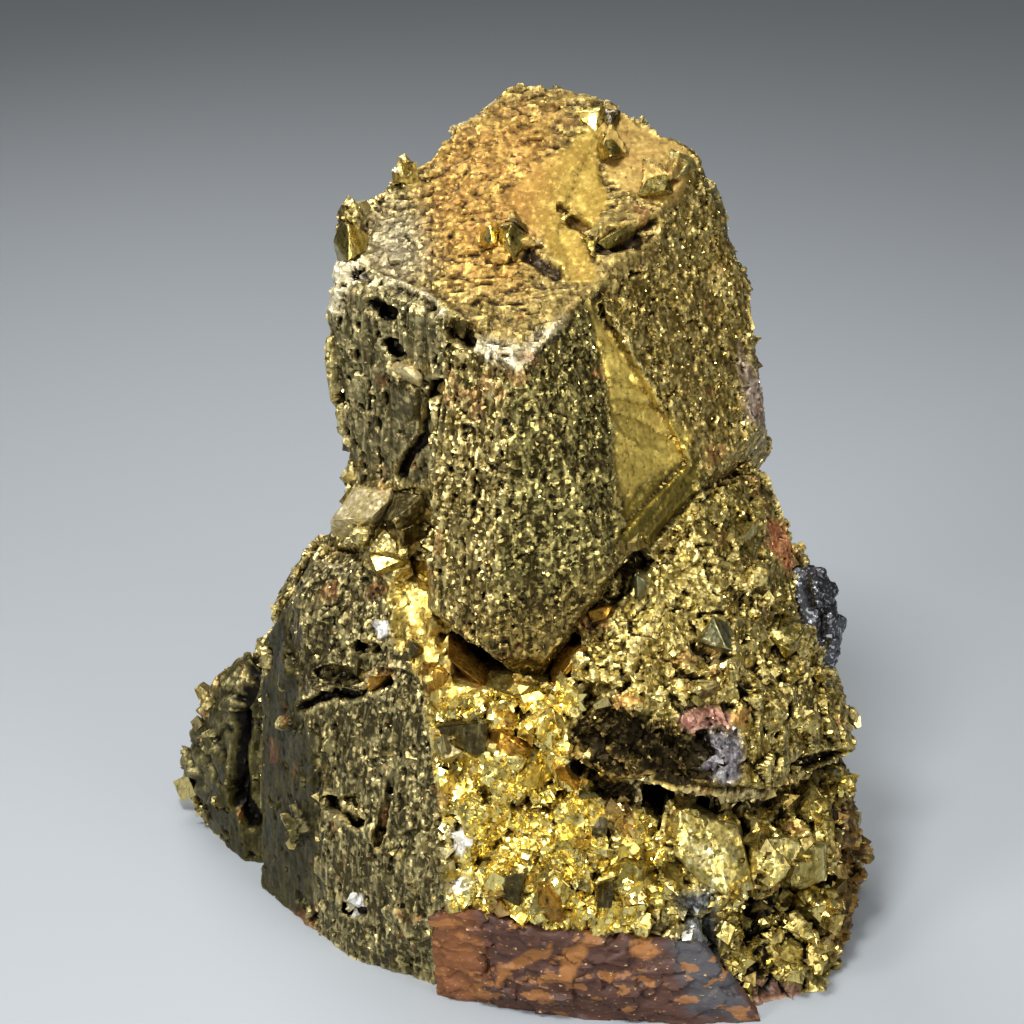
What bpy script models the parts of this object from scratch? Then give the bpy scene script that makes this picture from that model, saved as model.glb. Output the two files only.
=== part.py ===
"""A chalcopyrite specimen: one big blocky crystal on a wide foot of smaller ones, with a dark grey crystal
on its right side and a foot of iron-stained rock in front. It stands on its flat underside.

Corners and places are in millimetres, with X to the right, Y to the back and Z up. A direction is a pair of
degrees: round to the right from the front, and up from the horizontal.
"""
import itertools
import math
import random

import bmesh
import bpy
from mathutils import Matrix, Vector

MM = 0.001
SEED = 11
SAME_PLANE = math.radians(1.5)
SAME_FACE = math.radians(0.4)
ROUGH_BLOCK = 90.0
SEAM = 0.3
FLOOR_SLAB = 60.0
FOOT_DEPTH = 1.0
FOOT_STEP = 0.35
MATRIX_ROOM_DEPTH = 5.0
NARROWEST_EDGE = 0.002
CRYSTAL_BLUNT = 0.16
PIT_BLUNT = 0.3

# Each flat face of the big crystal, by three points on it
TOP = ((0.6, -14.5, 83.4), (0.8, 22.5, 108.1), (24.0, 12.0, 101.1))
BIG_CRYSTAL = {
    "top": TOP,
    "top left": ((-22.0, 1.0, 88.9), (-9.0, -7.1, 88.3), (-5.4, 19.0, 105.0)),
    "front left": ((-9.0, -7.1, 88.1), (0.6, -14.5, 83.4), (-9.1, -14.5, 51.5)),
    "front": ((0.6, -14.5, 83.4), (-1.5, -18.5, 53.5), (11.0, -18.0, 57.5)),
    "front right": ((0.6, -14.5, 83.4), (10.7, -4.3, 90.0), (13.5, -16.5, 60.2)),
    "right": ((10.7, -4.3, 90.0), (24.0, 12.0, 101.1), (22.8, -4.5, 66.2)),
    "right side, high": ((24.0, 12.0, 101.1), (30.6, 13.0, 81.9), (29.0, 27.0, 85.0)),
    "right side, low": ((30.6, 13.0, 81.9), (33.6, 12.0, 62.0), (32.0, 27.0, 75.0)),
    "under the front": ((-1.5, -18.9, 45.0), (4.0, -18.9, 44.4), (3.4, -15.0, 39.5)),
    "under the left": ((-1.5, -18.9, 45.0), (3.4, -15.0, 39.5), (-8.8, -14.0, 49.3)),
    "under the right": ((4.0, -18.9, 44.4), (3.4, -15.0, 39.5), (24.2, -3.0, 61.6)),
    "left side": ((-10.0, -12.0, 70.0), (-10.0, -8.0, 88.0), (-10.0, 20.0, 70.0)),
    "back left slope": ((0.8, 22.5, 108.1), (-14.3, 11.8, 99.4), (-12.0, 28.0, 86.4)),
    "back slope": ((0.8, 22.5, 108.1), (11.4, 21.0, 106.4), (6.0, 31.0, 93.0)),
    "back right slope": ((11.4, 21.0, 106.4), (24.0, 12.4, 101.4), (27.0, 26.0, 88.0)),
    "back": ((-10.0, 30.0, 78.0), (15.0, 31.0, 80.0), (5.0, 30.0, 45.0)),
    "back right": ((31.0, 21.0, 80.0), (20.0, 31.0, 80.0), (31.0, 21.0, 45.0)),
    "hidden foot": ((0.0, 0.0, 36.0), (10.0, 0.0, 36.0), (0.0, 10.0, 36.0)),
}
BIG_CRYSTAL_INSIDE = (8.0, 5.0, 75.0)
LEFT_CRYSTAL = {
    "top left": ((-22.0, 1.0, 88.7), (-9.0, -7.1, 88.1), (-5.4, 19.0, 104.6)),
    "back left slope": ((0.8, 22.2, 107.6), (-14.3, 11.5, 98.9), (-12.0, 27.6, 86.0)),
    "front": ((-21.7, 0.0, 86.7), (-9.7, -8.0, 85.8), (-20.3, 0.5, 61.4)),
    "left side": ((-23.4, 4.0, 82.6), (-20.6, 4.0, 60.9), (-20.5, 22.0, 75.0)),
    "left corner": ((-21.9, 1.5, 89.0), (-23.2, 5.0, 84.0), (-20.2, 9.0, 93.0)),
    "back": ((-20.0, 20.0, 80.0), (0.0, 29.0, 78.0), (-10.0, 24.0, 45.0)),
    "right side": ((-8.5, 0.0, 70.0), (-8.5, 0.0, 88.0), (-8.5, 20.0, 70.0)),
    "hidden foot": ((0.0, 0.0, 44.0), (10.0, 0.0, 44.0), (0.0, 10.0, 44.0)),
}
LEFT_CRYSTAL_INSIDE = (-12.0, 6.0, 75.0)

# The corners of each rough form of the foot
LEFT_LOBE = {
    "top left": (-27.9, 0.0, 45.0),
    "top back": (-24.2, 9.0, 51.0),
    "top middle": (-17.1, -4.0, 52.1),
    "top right": (-10.5, -9.0, 49.3),
    "front edge, high": (-9.2, -18.0, 40.5),
    "front edge, middle": (-8.2, -23.0, 27.3),
    "front edge, low": (-8.6, -27.0, 14.1),
    "left edge, middle": (-27.0, -5.5, 32.6),
    "left edge, low": (-26.3, -9.5, 19.3),
    "left shoulder": (-33.7, 8.0, 33.6),
    "left foot": (-34.3, 0.5, 0.0),
    "left front foot": (-25.7, -11.6, 0.0),
    "front left foot": (-21.5, -17.3, 0.0),
    "front foot": (-14.7, -20.7, 0.0),
    "front right foot": (-8.5, -24.0, 0.0),
    "back left foot": (-30.0, 24.0, 0.0),
    "back foot, left": (-18.0, 30.0, 0.0),
    "back left, high": (-27.0, 23.0, 36.0),
    "back foot": (4.0, 31.0, 0.0),
    "back, high": (-2.0, 28.0, 44.0),
    "inside": (2.0, -10.0, 30.0),
}
FRONT_SLOPE = {
    "top left": (-9.6, -17.0, 40.8),
    "top middle": (4.2, -22.0, 41.8),
    "top right": (11.1, -24.0, 36.5),
    "lower left": (-8.4, -28.2, 15.8),
    "lower middle": (3.6, -31.0, 13.6),
    "lower right": (15.0, -30.5, 11.4),
    "right, high": (14.0, -22.5, 31.0),
    "right, low": (24.0, -28.5, 10.0),
    "front left foot": (-8.0, -24.0, 0.0),
    "front foot": (6.0, -27.0, 0.0),
    "right foot": (26.0, -28.0, 0.0),
    "back left foot": (-12.0, 28.0, 0.0),
    "back right foot": (24.0, 28.0, 0.0),
    "back left": (-10.0, -5.0, 40.0),
    "back right": (12.0, -5.0, 36.0),
}
UPPER_RIGHT_LOBE = {
    "top front": (9.0, -15.0, 49.0),
    "top": (24.1, -4.5, 62.1),
    "top right": (33.2, 7.0, 59.2),
    "right shoulder": (37.5, 6.0, 47.3),
    "right side": (42.0, 5.0, 34.0),
    "front left": (8.0, -21.0, 44.0),
    "bulge left": (14.0, -22.5, 43.5),
    "bulge right": (28.9, -17.0, 43.0),
    "back right": (38.0, 20.0, 38.0),
    "back, high": (28.0, 24.0, 54.0),
    "back": (16.0, 28.0, 40.0),
}
RIGHT_LOBE = {
    "bulge left": (14.5, -24.0, 43.0),
    "bulge middle": (22.0, -22.5, 43.0),
    "bulge right": (30.5, -18.0, 42.0),
    "front left": (7.3, -23.5, 36.5),
    "lip, far left": (10.5, -25.5, 31.5),
    "lip left": (17.5, -27.0, 30.0),
    "lip middle": (23.8, -27.0, 29.5),
    "lip right": (31.5, -24.5, 29.0),
    "right side": (43.0, 3.5, 33.0),
    "right lip": (45.3, -4.0, 25.6),
    "right lip, low": (44.2, -6.0, 23.4),
    "back right": (40.0, 20.0, 34.0),
    "back": (20.0, 28.0, 38.0),
    "back left": (8.0, 0.0, 40.0),
    "under, back": (20.0, 10.0, 24.0),
    "under, right": (40.0, 12.0, 22.0),
}
RIGHT_FOOT = {
    "top left": (17.0, -19.0, 26.0),
    "top front": (31.5, -19.5, 24.5),
    "top right": (41.6, -13.0, 20.5),
    "right rim": (46.2, -4.0, 18.0),
    "right, low": (46.3, -3.0, 7.3),
    "front right": (41.7, -18.0, 9.4),
    "right foot": (47.0, 1.0, 0.0),
    "right front foot": (43.4, -17.8, 0.0),
    "front right foot": (40.2, -25.0, 0.0),
    "front, low": (30.0, -27.5, 10.7),
    "front foot": (30.0, -29.5, 0.0),
    "front left foot": (16.0, -29.0, 0.0),
    "back right foot": (42.0, 20.0, 0.0),
    "back foot": (22.0, 30.0, 0.0),
    "back left foot": (-2.0, 30.0, 0.0),
    "back, high": (18.0, 29.0, 34.0),
    "back right, high": (38.0, 20.0, 26.0),
    "back left, high": (-2.0, 29.0, 36.0),
}
PALE_CRYSTAL = {
    "top left": (19.4, -23.5, 27.6),
    "top back": (24.2, -17.0, 26.8),
    "top right": (32.0, -20.0, 24.8),
    "rim": (24.0, -26.2, 26.2),
    "left": (19.7, -28.4, 21.2),
    "right, low": (30.4, -29.0, 17.3),
    "front, low": (24.0, -30.2, 15.8),
    "left, low": (19.0, -28.0, 12.0),
    "inside, low": (26.0, -18.0, 12.0),
}
LEFT_LUMP = {
    "top": (-37.0, 18.0, 27.5),
    "top front": (-34.0, 11.0, 27.5),
    "left, high": (-43.5, 20.0, 20.0),
    "left, middle": (-46.6, 21.0, 10.0),
    "left foot": (-45.5, 23.0, 0.0),
    "left front foot": (-42.6, 17.0, 0.0),
    "front foot": (-37.1, 7.5, 0.0),
    "front": (-38.5, 9.5, 12.0),
    "front, high": (-38.0, 12.0, 22.0),
    "right foot": (-28.0, 6.0, 0.0),
    "right, high": (-28.0, 12.0, 27.0),
    "back foot": (-30.0, 28.0, 0.0),
    "back, high": (-30.0, 26.0, 20.0),
}
MATRIX = {
    "top left": (-10.5, -27.9, 13.0),
    "top, left of middle": (-5.4, -29.9, 15.0),
    "top middle": (3.6, -31.9, 13.0),
    "top, right of middle": (13.0, -31.7, 11.0),
    "top right": (24.0, -29.7, 9.6),
    "right end": (30.0, -30.5, 3.0),
    "left foot": (-9.5, -26.3, 0.0),
    "front left foot": (-2.0, -28.5, 0.0),
    "front foot": (6.0, -31.0, 0.0),
    "front right foot": (20.0, -33.0, 0.0),
    "right foot": (32.0, -32.5, 0.0),
    "back left foot": (-8.0, -18.0, 0.0),
    "back right foot": (26.0, -18.0, 0.0),
    "back left": (-6.0, -18.0, 10.0),
    "back right": (22.0, -18.0, 8.0),
}
GREY_CRYSTAL = {
    "top left": (36.8, 6.0, 45.8),
    "top right": (41.5, 7.0, 45.4),
    "shoulder": (42.8, 6.0, 41.0),
    "right": (43.8, 5.0, 36.0),
    "tip": (42.6, 4.0, 31.0),
    "front": (39.6, 1.5, 38.0),
    "front, low": (41.0, 2.0, 33.5),
    "back": (38.0, 13.0, 38.0),
    "left": (36.0, 7.0, 40.0),
}

# The crystals that stand out one by one: place, direction of the flat face, turn in degrees, and width,
# height and depth
GREY_STEPS = {
    "high": ((40.6, 4.4, 43.4), (40, 30), 20, (4.6, 4.2, 3.4)),
    "middle": ((42.4, 3.8, 38.2), (50, 10), 150, (4.8, 5.0, 3.4)),
    "low": ((41.6, 2.6, 34.6), (25, 5), 60, (3.6, 4.2, 3.0)),
}
CRYSTALS = {
    "honey crystal on the left rim": ((-20.4, 7.0, 94.0), (-40, 10), 20, (5.0, 6.4, 5.0)),
    "small one on the upper left": ((-13.6, 12.6, 99.8), (-20, 15), 0, (2.8, 3.2, 3.0)),
    "top group, left": ((-3.0, 1.4, 94.4), (-20, 50), 10, (3.8, 3.6, 3.2)),
    "top group, middle": ((-0.6, 2.2, 95.4), (25, 35), 75, (4.4, 4.2, 3.6)),
    "top group, right": ((1.4, 0.6, 94.4), (45, 60), 200, (3.6, 3.4, 3.0)),
    "top group, low": ((-1.2, -0.8, 93.2), (-5, 40), 150, (3.2, 3.2, 2.8)),
    "triangle near the apex": ((12.7, 13.4, 102.8), (15, 25), 0, (4.2, 4.8, 3.4)),
    "right corner": ((18.0, 9.0, 99.8), (-5, 30), 30, (5.0, 4.4, 3.6)),
    "right corner, second": ((20.6, 9.8, 100.4), (50, 20), 100, (3.8, 3.6, 3.2)),
    "cavity rim": ((10.4, 0.4, 94.4), (-10, 35), 60, (4.0, 3.4, 3.0)),
    "rough patch": ((7.0, 4.6, 96.4), (20, 40), 130, (3.4, 3.2, 2.8)),
    "cream chip": ((-14.1, -4.4, 79.0), (-25, 45), 90, (5.0, 3.2, 3.0)),
    "tabular crystal": ((-18.6, -0.4, 57.4), (-20, 48), 70, (9.6, 6.6, 5.0)),
    "dark wedge": ((-13.4, -5.0, 57.6), (25, -5), 170, (7.4, 7.4, 6.0)),
    "striated ledge": ((-16.0, -5.6, 52.8), (10, 40), 100, (7.6, 5.0, 5.0)),
    "dark crystal on the left": ((-12.8, -13.2, 43.8), (30, -5), 180, (3.6, 3.4, 3.2)),
    "amber crystal on the left": ((-9.4, -16.6, 42.2), (20, 10), 95, (5.2, 4.6, 4.0)),
    "dark striated crystal": ((-6.0, -21.0, 35.4), (14, 8), 100, (8.4, 6.4, 5.0)),
    "orange striped crystal": ((0.2, -23.4, 34.9), (10, 25), 180, (6.6, 3.4, 4.0)),
    "bright point": ((-0.6, -21.4, 39.3), (-10, 42), 0, (4.2, 3.8, 3.2)),
    "bright point, right": ((4.6, -22.8, 39.2), (5, 38), 180, (4.8, 5.2, 3.6)),
    "bright plate under the toe": ((1.8, -20.4, 41.6), (-5, 55), 40, (6.0, 5.0, 4.0)),
    "amber crystal, right": ((6.4, -25.2, 32.3), (15, 5), 30, (4.8, 4.6, 4.0)),
    "dark triangle": ((-0.6, -29.0, 18.5), (12, 0), 180, (6.2, 5.8, 4.0)),
    "amber tall crystal": ((4.6, -30.2, 16.6), (10, 5), 0, (4.2, 7.6, 4.0)),
    "gold point": ((11.8, -27.6, 23.8), (0, 25), 0, (4.6, 4.4, 3.4)),
    "grey crystal, front": ((11.2, -26.8, 26.8), (10, 5), 45, (3.2, 3.6, 3.0)),
    "dark wedge, low": ((12.2, -29.2, 17.6), (20, 0), 180, (4.2, 6.4, 4.0)),
    "pale crystal by the toe": ((16.2, -13.2, 53.0), (0, 20), 10, (3.6, 4.4, 3.4)),
    "grey-green plate": ((25.4, -15.4, 47.6), (8, 38), 190, (5.4, 6.6, 3.4)),
    "gold group, right": ((34.6, -6.6, 40.8), (15, 30), 20, (5.6, 4.6, 4.0)),
    "gold group, far right": ((37.6, -3.4, 40.6), (40, 10), 150, (4.4, 4.6, 4.0)),
    "orange rim": ((15.0, -24.0, 42.4), (0, 50), 90, (6.8, 3.2, 3.4)),
    "stained ledge": ((25.2, -22.0, 40.0), (12, 52), 100, (9.4, 4.0, 4.0)),
    "bright crystal, right": ((35.8, -19.2, 18.4), (0, 32), 0, (9.0, 8.4, 6.0)),
    "bright crystal, below": ((33.0, -22.0, 15.8), (-12, 28), 170, (5.4, 5.2, 5.0)),
    "lump, low right": ((36.4, -24.2, 5.8), (-5, 30), 10, (8.8, 9.0, 7.0)),
    "column, low": ((27.6, -28.0, 6.6), (-10, 8), 0, (5.4, 10.0, 5.0)),
}

# Where blocky crystals break up the rough forms: lowest and highest corner, count, and smallest and largest
# width. They are sunk, and stand out by part of their width.
BLOCKS = {
    "right slope": ((16, -24, 31), (43, 10, 50), 16, (4.0, 8.0)),
    "right foot": ((30, -26, 4), (47, 16, 26), 8, (5.0, 9.0)),
    "left lobe": ((-31, -24, 5), (-12, 4, 46), 11, (4.0, 8.0)),
    "left lump": ((-44, 6, 4), (-31, 26, 24), 9, (4.0, 7.0)),
    "bright slope": ((-8, -30, 16), (16, -18, 40), 9, (4.0, 7.0)),
    "back of the foot": ((-32, 12, 4), (44, 32, 46), 20, (7.0, 15.0)),
    "back of the big crystal": ((-18, 22, 50), (22, 33, 92), 9, (6.0, 13.0)),
}
BLOCK_STANDS_OUT = 0.13
BLOCK_TILT = (8, 36)
BLOCK_TAPER = 0.7
BLOCK_UNEVEN = 0.24

# Where small crystals are scattered: lowest and highest corner, count, smallest and largest width, and how
# far their flat faces lean from the surface, in degrees
SCATTER = {
    "right slope": ((6, -28, 30), (46, 12, 60), 32, (2.2, 4.6), (30, 80)),
    "bright slope": ((-9, -33, 13), (18, -16, 42), 40, (2.4, 4.4), (10, 45)),
    "under the overhang": ((14, -32, 3), (48, 4, 28), 18, (2.4, 5.0), (20, 70)),
    "left lobe": ((-30, -29, 3), (-8, 2, 52), 16, (2.0, 4.0), (30, 80)),
    "left lump": ((-45, 4, 3), (-30, 28, 26), 6, (2.0, 4.0), (30, 80)),
    "top": ((-18, -14, 84), (20, 18, 106), 11, (1.8, 3.0), (30, 80)),
    "upright faces": ((-20, -20, 50), (23, 10, 92), 12, (1.8, 2.8), (30, 80)),
    "back": ((-34, 14, 3), (46, 33, 92), 14, (3.0, 7.0), (30, 80)),
}
LEAN_UP = 0.35
TURN = 40

# Holes, by place, direction of the opening, turn, and width, height and depth
PITS = {
    "cavity under the top": ((14.8, 1.4, 94.4), (10, 30), 90, (6.5, 9.0, 7.0)),
    "rim pit": ((-6.0, -10.2, 86.6), (-30, 10), 0, (3.4, 4.6, 4.0)),
    "left face, high": ((-16.3, -3.8, 86.4), (-30, 0), 20, (3.6, 4.2, 3.4)),
    "left face, middle": ((-15.4, -4.2, 81.4), (-30, 0), 60, (2.8, 3.4, 3.0)),
    "left face, below the chip": ((-13.6, -5.0, 75.2), (-20, -5), 0, (3.0, 4.8, 3.4)),
    "lobe, high": ((-20.4, -7.9, 41.3), (-30, 5), 90, (3.4, 4.4, 3.6)),
    "black hole in the lobe": ((-21.4, -13.4, 20.8), (-25, 0), 90, (6.4, 7.4, 6.5)),
    "lobe, low": ((-22.1, -15.6, 6.5), (-35, 0), 30, (3.2, 4.4, 3.4)),
    "notch at the lobe's foot": ((-26.6, -10.4, 1.5), (-40, -10), 0, (5.0, 5.0, 4.0)),
    "beside the stained ledge": ((23.6, -24.6, 35.4), (5, 0), 0, (3.4, 5.0, 4.0)),
    "under the gold group": ((35.6, -7.2, 37.2), (30, -10), 180, (4.6, 4.2, 4.0)),
    "under the grey-green plate": ((25.6, -17.4, 43.8), (10, -5), 90, (3.0, 6.0, 3.4)),
    "under the amber crystal": ((7.6, -25.4, 29.4), (10, -10), 90, (4.0, 6.0, 4.0)),
}

# Long cracks, from end to end, with the width, the depth and the direction of the opening
CREVICES = {
    "between the big crystals": ((-10.2, -8.4, 80.0), (-10.6, -7.8, 62.5), 2.6, 3.6, (-30, 0)),
    "across the left lobe": ((-26.2, -4.6, 36.2), (-16.8, -11.8, 38.4), 2.4, 3.0, (-35, 20)),
    "down the left lobe": ((-15.5, -17.0, 30.0), (-17.5, -17.5, 14.0), 1.6, 2.0, (-35, 0)),
    "under the right crystals": ((31.2, -26.6, 13.2), (44.0, -14.0, 10.4), 4.4, 6.0, (35, 5)),
    "right of the pale crystal": ((32.4, -21.6, 24.0), (31.6, -27.4, 15.0), 1.8, 4.0, (10, 10)),
    "along the bright slope": ((-2.5, -25.4, 28.6), (6.0, -26.6, 28.0), 1.4, 2.0, (0, 20)),
}

# The smooth face on the big crystal's right, sunk a little below the crust round it
SMOOTH_FACE = {
    "top": (10.0, -3.4, 88.4),
    "right": (22.3, -3.8, 66.0),
    "low": (12.6, -13.6, 60.1),
    "top, outside": (12.9, -6.8, 90.0),
    "right, outside": (24.8, -6.7, 67.3),
    "low, outside": (15.4, -16.8, 61.6),
}

# Flat lumps on the front of the rock: the box that holds them, and the room that the crystals leave them
MATRIX_LUMPS = 15
MATRIX_LUMP_SIZES = (3.0, 7.0)
MATRIX_LUMP_TILT = 10
MATRIX_LUMP_BOX = ((-4, -34, 2.0), (20, -26, 6.5))
MATRIX_LUMP_ROOM = {
    "left foot": (-10.0, -29.0, 0.0),
    "left, high": (-8.0, -30.5, 9.5),
    "middle foot": (5.0, -34.5, 0.0),
    "middle, high": (5.0, -34.0, 9.5),
    "right foot": (26.0, -36.0, 0.0),
    "right, high": (25.0, -33.5, 7.5),
}
MATRIX_CREVICES = {
    "upright crack": ((-2.6, -31.2, 9.4), (-3.2, -30.2, 5.6), 1.0, 1.4, (0, 0)),
    "slanting crack": ((-2.6, -31.0, 6.6), (4.0, -32.0, 8.8), 0.9, 1.2, (0, 0)),
}


def clear_scene():
    for item in list(bpy.data.objects):
        bpy.data.objects.remove(item, do_unlink=True)


def add_object(name, shape):
    """Turn a bmesh in millimetres into an object in metres."""
    shape.transform(Matrix.Scale(MM, 4))
    mesh = bpy.data.meshes.new(name)
    shape.to_mesh(mesh)
    shape.free()
    item = bpy.data.objects.new(name, mesh)
    bpy.context.collection.objects.link(item)
    return item


def toward(degrees):
    """The unit vector of a direction."""
    round_angle, up_angle = (math.radians(angle) for angle in degrees)
    level = math.cos(up_angle)
    return Vector((math.sin(round_angle) * level, -math.cos(round_angle) * level, math.sin(up_angle)))


def hull(corners):
    """The flat-faced solid that closes round the given corners."""
    shape = bmesh.new()
    for corner in corners:
        shape.verts.new(corner)
    made = bmesh.ops.convex_hull(shape, input=shape.verts[:])
    inner = {part for part in made["geom_interior"] + made["geom_unused"] if isinstance(part, bmesh.types.BMVert)}
    bmesh.ops.delete(shape, geom=list(inner), context="VERTS")
    bmesh.ops.dissolve_limit(shape, angle_limit=SAME_PLANE, verts=shape.verts[:], edges=shape.edges[:])
    bmesh.ops.recalc_face_normals(shape, faces=shape.faces[:])
    return shape


def deepened(corners, depth):
    """The corners, with those on the floor repeated below it, for a foot that is cut off flat later."""
    below = [Vector(corner) - Vector((0.0, 0.0, depth)) for corner in corners if corner[2] == 0.0]
    return list(corners) + below


def cut_crystal(faces, inside):
    """A crystal cut from a rough block by flat faces. Each face is three points, and it keeps the inside point."""
    shape = bmesh.new()
    bmesh.ops.create_cube(shape, size=ROUGH_BLOCK)
    bmesh.ops.translate(shape, vec=inside, verts=shape.verts[:])
    for one, two, three in faces.values():
        normal = (Vector(two) - Vector(one)).cross(Vector(three) - Vector(one)).normalized()
        if normal.dot(Vector(inside) - Vector(one)) > 0:
            normal.negate()
        everything = shape.verts[:] + shape.edges[:] + shape.faces[:]
        cut = bmesh.ops.bisect_plane(shape, geom=everything, plane_co=one, plane_no=normal, clear_outer=True)
        rim = [part for part in cut["geom_cut"] if isinstance(part, bmesh.types.BMEdge)]
        bmesh.ops.edgenet_fill(shape, edges=rim)
    bmesh.ops.recalc_face_normals(shape, faces=shape.faces[:])
    return shape


def wedge_corners(place, direction, turn, size, blunt=CRYSTAL_BLUNT):
    """Corners of a small three-sided crystal with blunt tips. Its flat face looks in the direction."""
    tips = [Vector((math.sin(angle), math.cos(angle), 0.4)) for angle in (0.0, math.tau / 3, -math.tau / 3)]
    tips.append(Vector((0.0, 0.0, -1.0)))
    width, height, depth = size
    scale = Matrix.Diagonal((width * 0.58, height * 0.66, depth * 0.7, 1.0))
    spin = Matrix.Rotation(math.radians(turn), 4, "Z")
    stand = direction.to_track_quat("Z", "Y").to_matrix().to_4x4()
    frame = Matrix.Translation(place) @ stand @ spin @ scale
    return [frame @ tip.lerp(other, blunt) for tip in tips for other in tips if other is not tip]


def placed_crystals(table, blunt=CRYSTAL_BLUNT):
    """An object for each row of a table of crystals or holes."""
    made = []
    for name, (place, direction, turn, size) in table.items():
        made.append(add_object(name, hull(wedge_corners(Vector(place), toward(direction), turn, size, blunt))))
    return made


def block_corners(place, direction, size, dice):
    """Corners of an uneven blocky crystal whose outer end is narrower."""
    spin = Matrix.Rotation(dice.uniform(0, math.tau), 4, "Z")
    stand = direction.to_track_quat("Z", "Y").to_matrix().to_4x4()
    frame = Matrix.Translation(place) @ stand @ spin
    corners = []
    for side, up, out in itertools.product((-1, 1), repeat=3):
        narrow = BLOCK_TAPER if out > 0 else 1.0
        corner = Vector((side * size[0] * narrow, up * size[1] * narrow, out * size[2])) / 2
        uneven = [1 + dice.uniform(-BLOCK_UNEVEN, BLOCK_UNEVEN) for axis in range(3)]
        corners.append(frame @ (corner * Vector(uneven)))
    return corners


def crevice_corners(start, end, width, depth, direction):
    """Corners of the long thin wedge that cuts a crack open towards its direction."""
    start, end, out = Vector(start), Vector(end), toward(direction)
    along = (end - start).normalized()
    side = along.cross(out).normalized() * width / 2
    middle = (start + end) / 2
    lip = out * 2.0
    corners = [start, end, start + lip, end + lip, middle - out * depth]
    for step in (0.3, 0.7):
        point = start.lerp(end, step)
        corners += [point + side, point - side, point + side + lip, point - side + lip]
        corners.append(point - out * depth * 0.9)
    return corners


def join(body, others, operation):
    """Union or cut the body with many shapes at once, and keep only the result."""
    group = bpy.data.collections.new(operation.lower())
    for other in others:
        group.objects.link(other)
    boolean = body.modifiers.new(operation.lower(), "BOOLEAN")
    boolean.operation = operation
    boolean.operand_type = "COLLECTION"
    boolean.collection = group
    boolean.solver = "EXACT"
    boolean.use_self = operation == "UNION"
    seen = body.evaluated_get(bpy.context.evaluated_depsgraph_get())
    result = bpy.data.meshes.new_from_object(seen)
    body.modifiers.clear()
    body.data = result
    for other in others:
        bpy.data.objects.remove(other, do_unlink=True)
    bpy.data.collections.remove(group)


def surface_points(body, low, high, count, dice):
    """Random points on the part of the surface that lies in a box, with the face's direction at each."""
    mesh = body.data
    mesh.calc_loop_triangles()
    triangles = []
    for triangle in mesh.loop_triangles:
        corners = [mesh.vertices[index].co / MM for index in triangle.vertices]
        triangles.append((corners, triangle.area, triangle.normal.copy()))
    areas = [area for corners, area, normal in triangles]
    found = []
    while len(found) < count:
        (one, two, three), area, normal = dice.choices(triangles, weights=areas)[0]
        u, v = dice.random(), dice.random()
        if u + v > 1:
            u, v = 1 - u, 1 - v
        point = one + (two - one) * u + (three - one) * v
        if all(low[axis] <= point[axis] <= high[axis] for axis in range(3)) and normal.z > -0.5:
            found.append((point, normal))
    return found


def tilted(normal, least, most, dice):
    """The direction turned any way, by between the two numbers of degrees."""
    aside = Vector((dice.gauss(0, 1), dice.gauss(0, 1), dice.gauss(0, 1))).cross(normal).normalized()
    return Matrix.Rotation(math.radians(dice.uniform(least, most)), 3, aside) @ normal


def scattered_blocks(body, dice):
    made = []
    for region, (low, high, count, widths) in BLOCKS.items():
        for number, (point, normal) in enumerate(surface_points(body, low, high, count, dice)):
            width = dice.uniform(*widths)
            size = (width, width * dice.uniform(0.7, 1.1), width * dice.uniform(0.7, 1.0))
            centre = point - normal * (size[2] / 2 - width * BLOCK_STANDS_OUT)
            corners = block_corners(centre, tilted(normal, *BLOCK_TILT, dice), size, dice)
            made.append(add_object(f"{region} block {number}", hull(corners)))
    return made


def scattered_crystals(body, dice):
    made = []
    for region, (low, high, count, (smallest, largest), leans) in SCATTER.items():
        for number, (point, normal) in enumerate(surface_points(body, low, high, count, dice)):
            width = smallest + (largest - smallest) * dice.random() ** 2
            size = (width, width * dice.uniform(0.8, 1.3), width)
            upward = (normal + Vector((0.0, 0.0, LEAN_UP))).normalized()
            corners = wedge_corners(point, tilted(upward, *leans, dice), dice.uniform(-TURN, TURN), size)
            made.append(add_object(f"{region} {number}", hull(corners)))
    return made


def clear_below_floor(body):
    """Cut the body off flat at the height it stands on."""
    slab = bmesh.new()
    bmesh.ops.create_cube(slab, size=2 * FLOOR_SLAB)
    bmesh.ops.translate(slab, vec=(0, 0, -FLOOR_SLAB), verts=slab.verts[:])
    join(body, [add_object("floor", slab)], "DIFFERENCE")


def room_for(corners):
    """A cutter that leaves a narrow seam all round a neighbour."""
    shape = hull(corners)
    for corner in shape.verts:
        corner.co += corner.normal * SEAM * corner.calc_shell_factor()
    return shape


def shells(shape):
    """The separate closed skins of a shape, as lists of faces."""
    found = []
    left = set(shape.faces)
    while left:
        skin = set()
        edge_of_skin = [left.pop()]
        while edge_of_skin:
            face = edge_of_skin.pop()
            skin.add(face)
            for edge in face.edges:
                for other in edge.link_faces:
                    if other in left:
                        left.remove(other)
                        edge_of_skin.append(other)
        found.append(list(skin))
    return found


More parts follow.
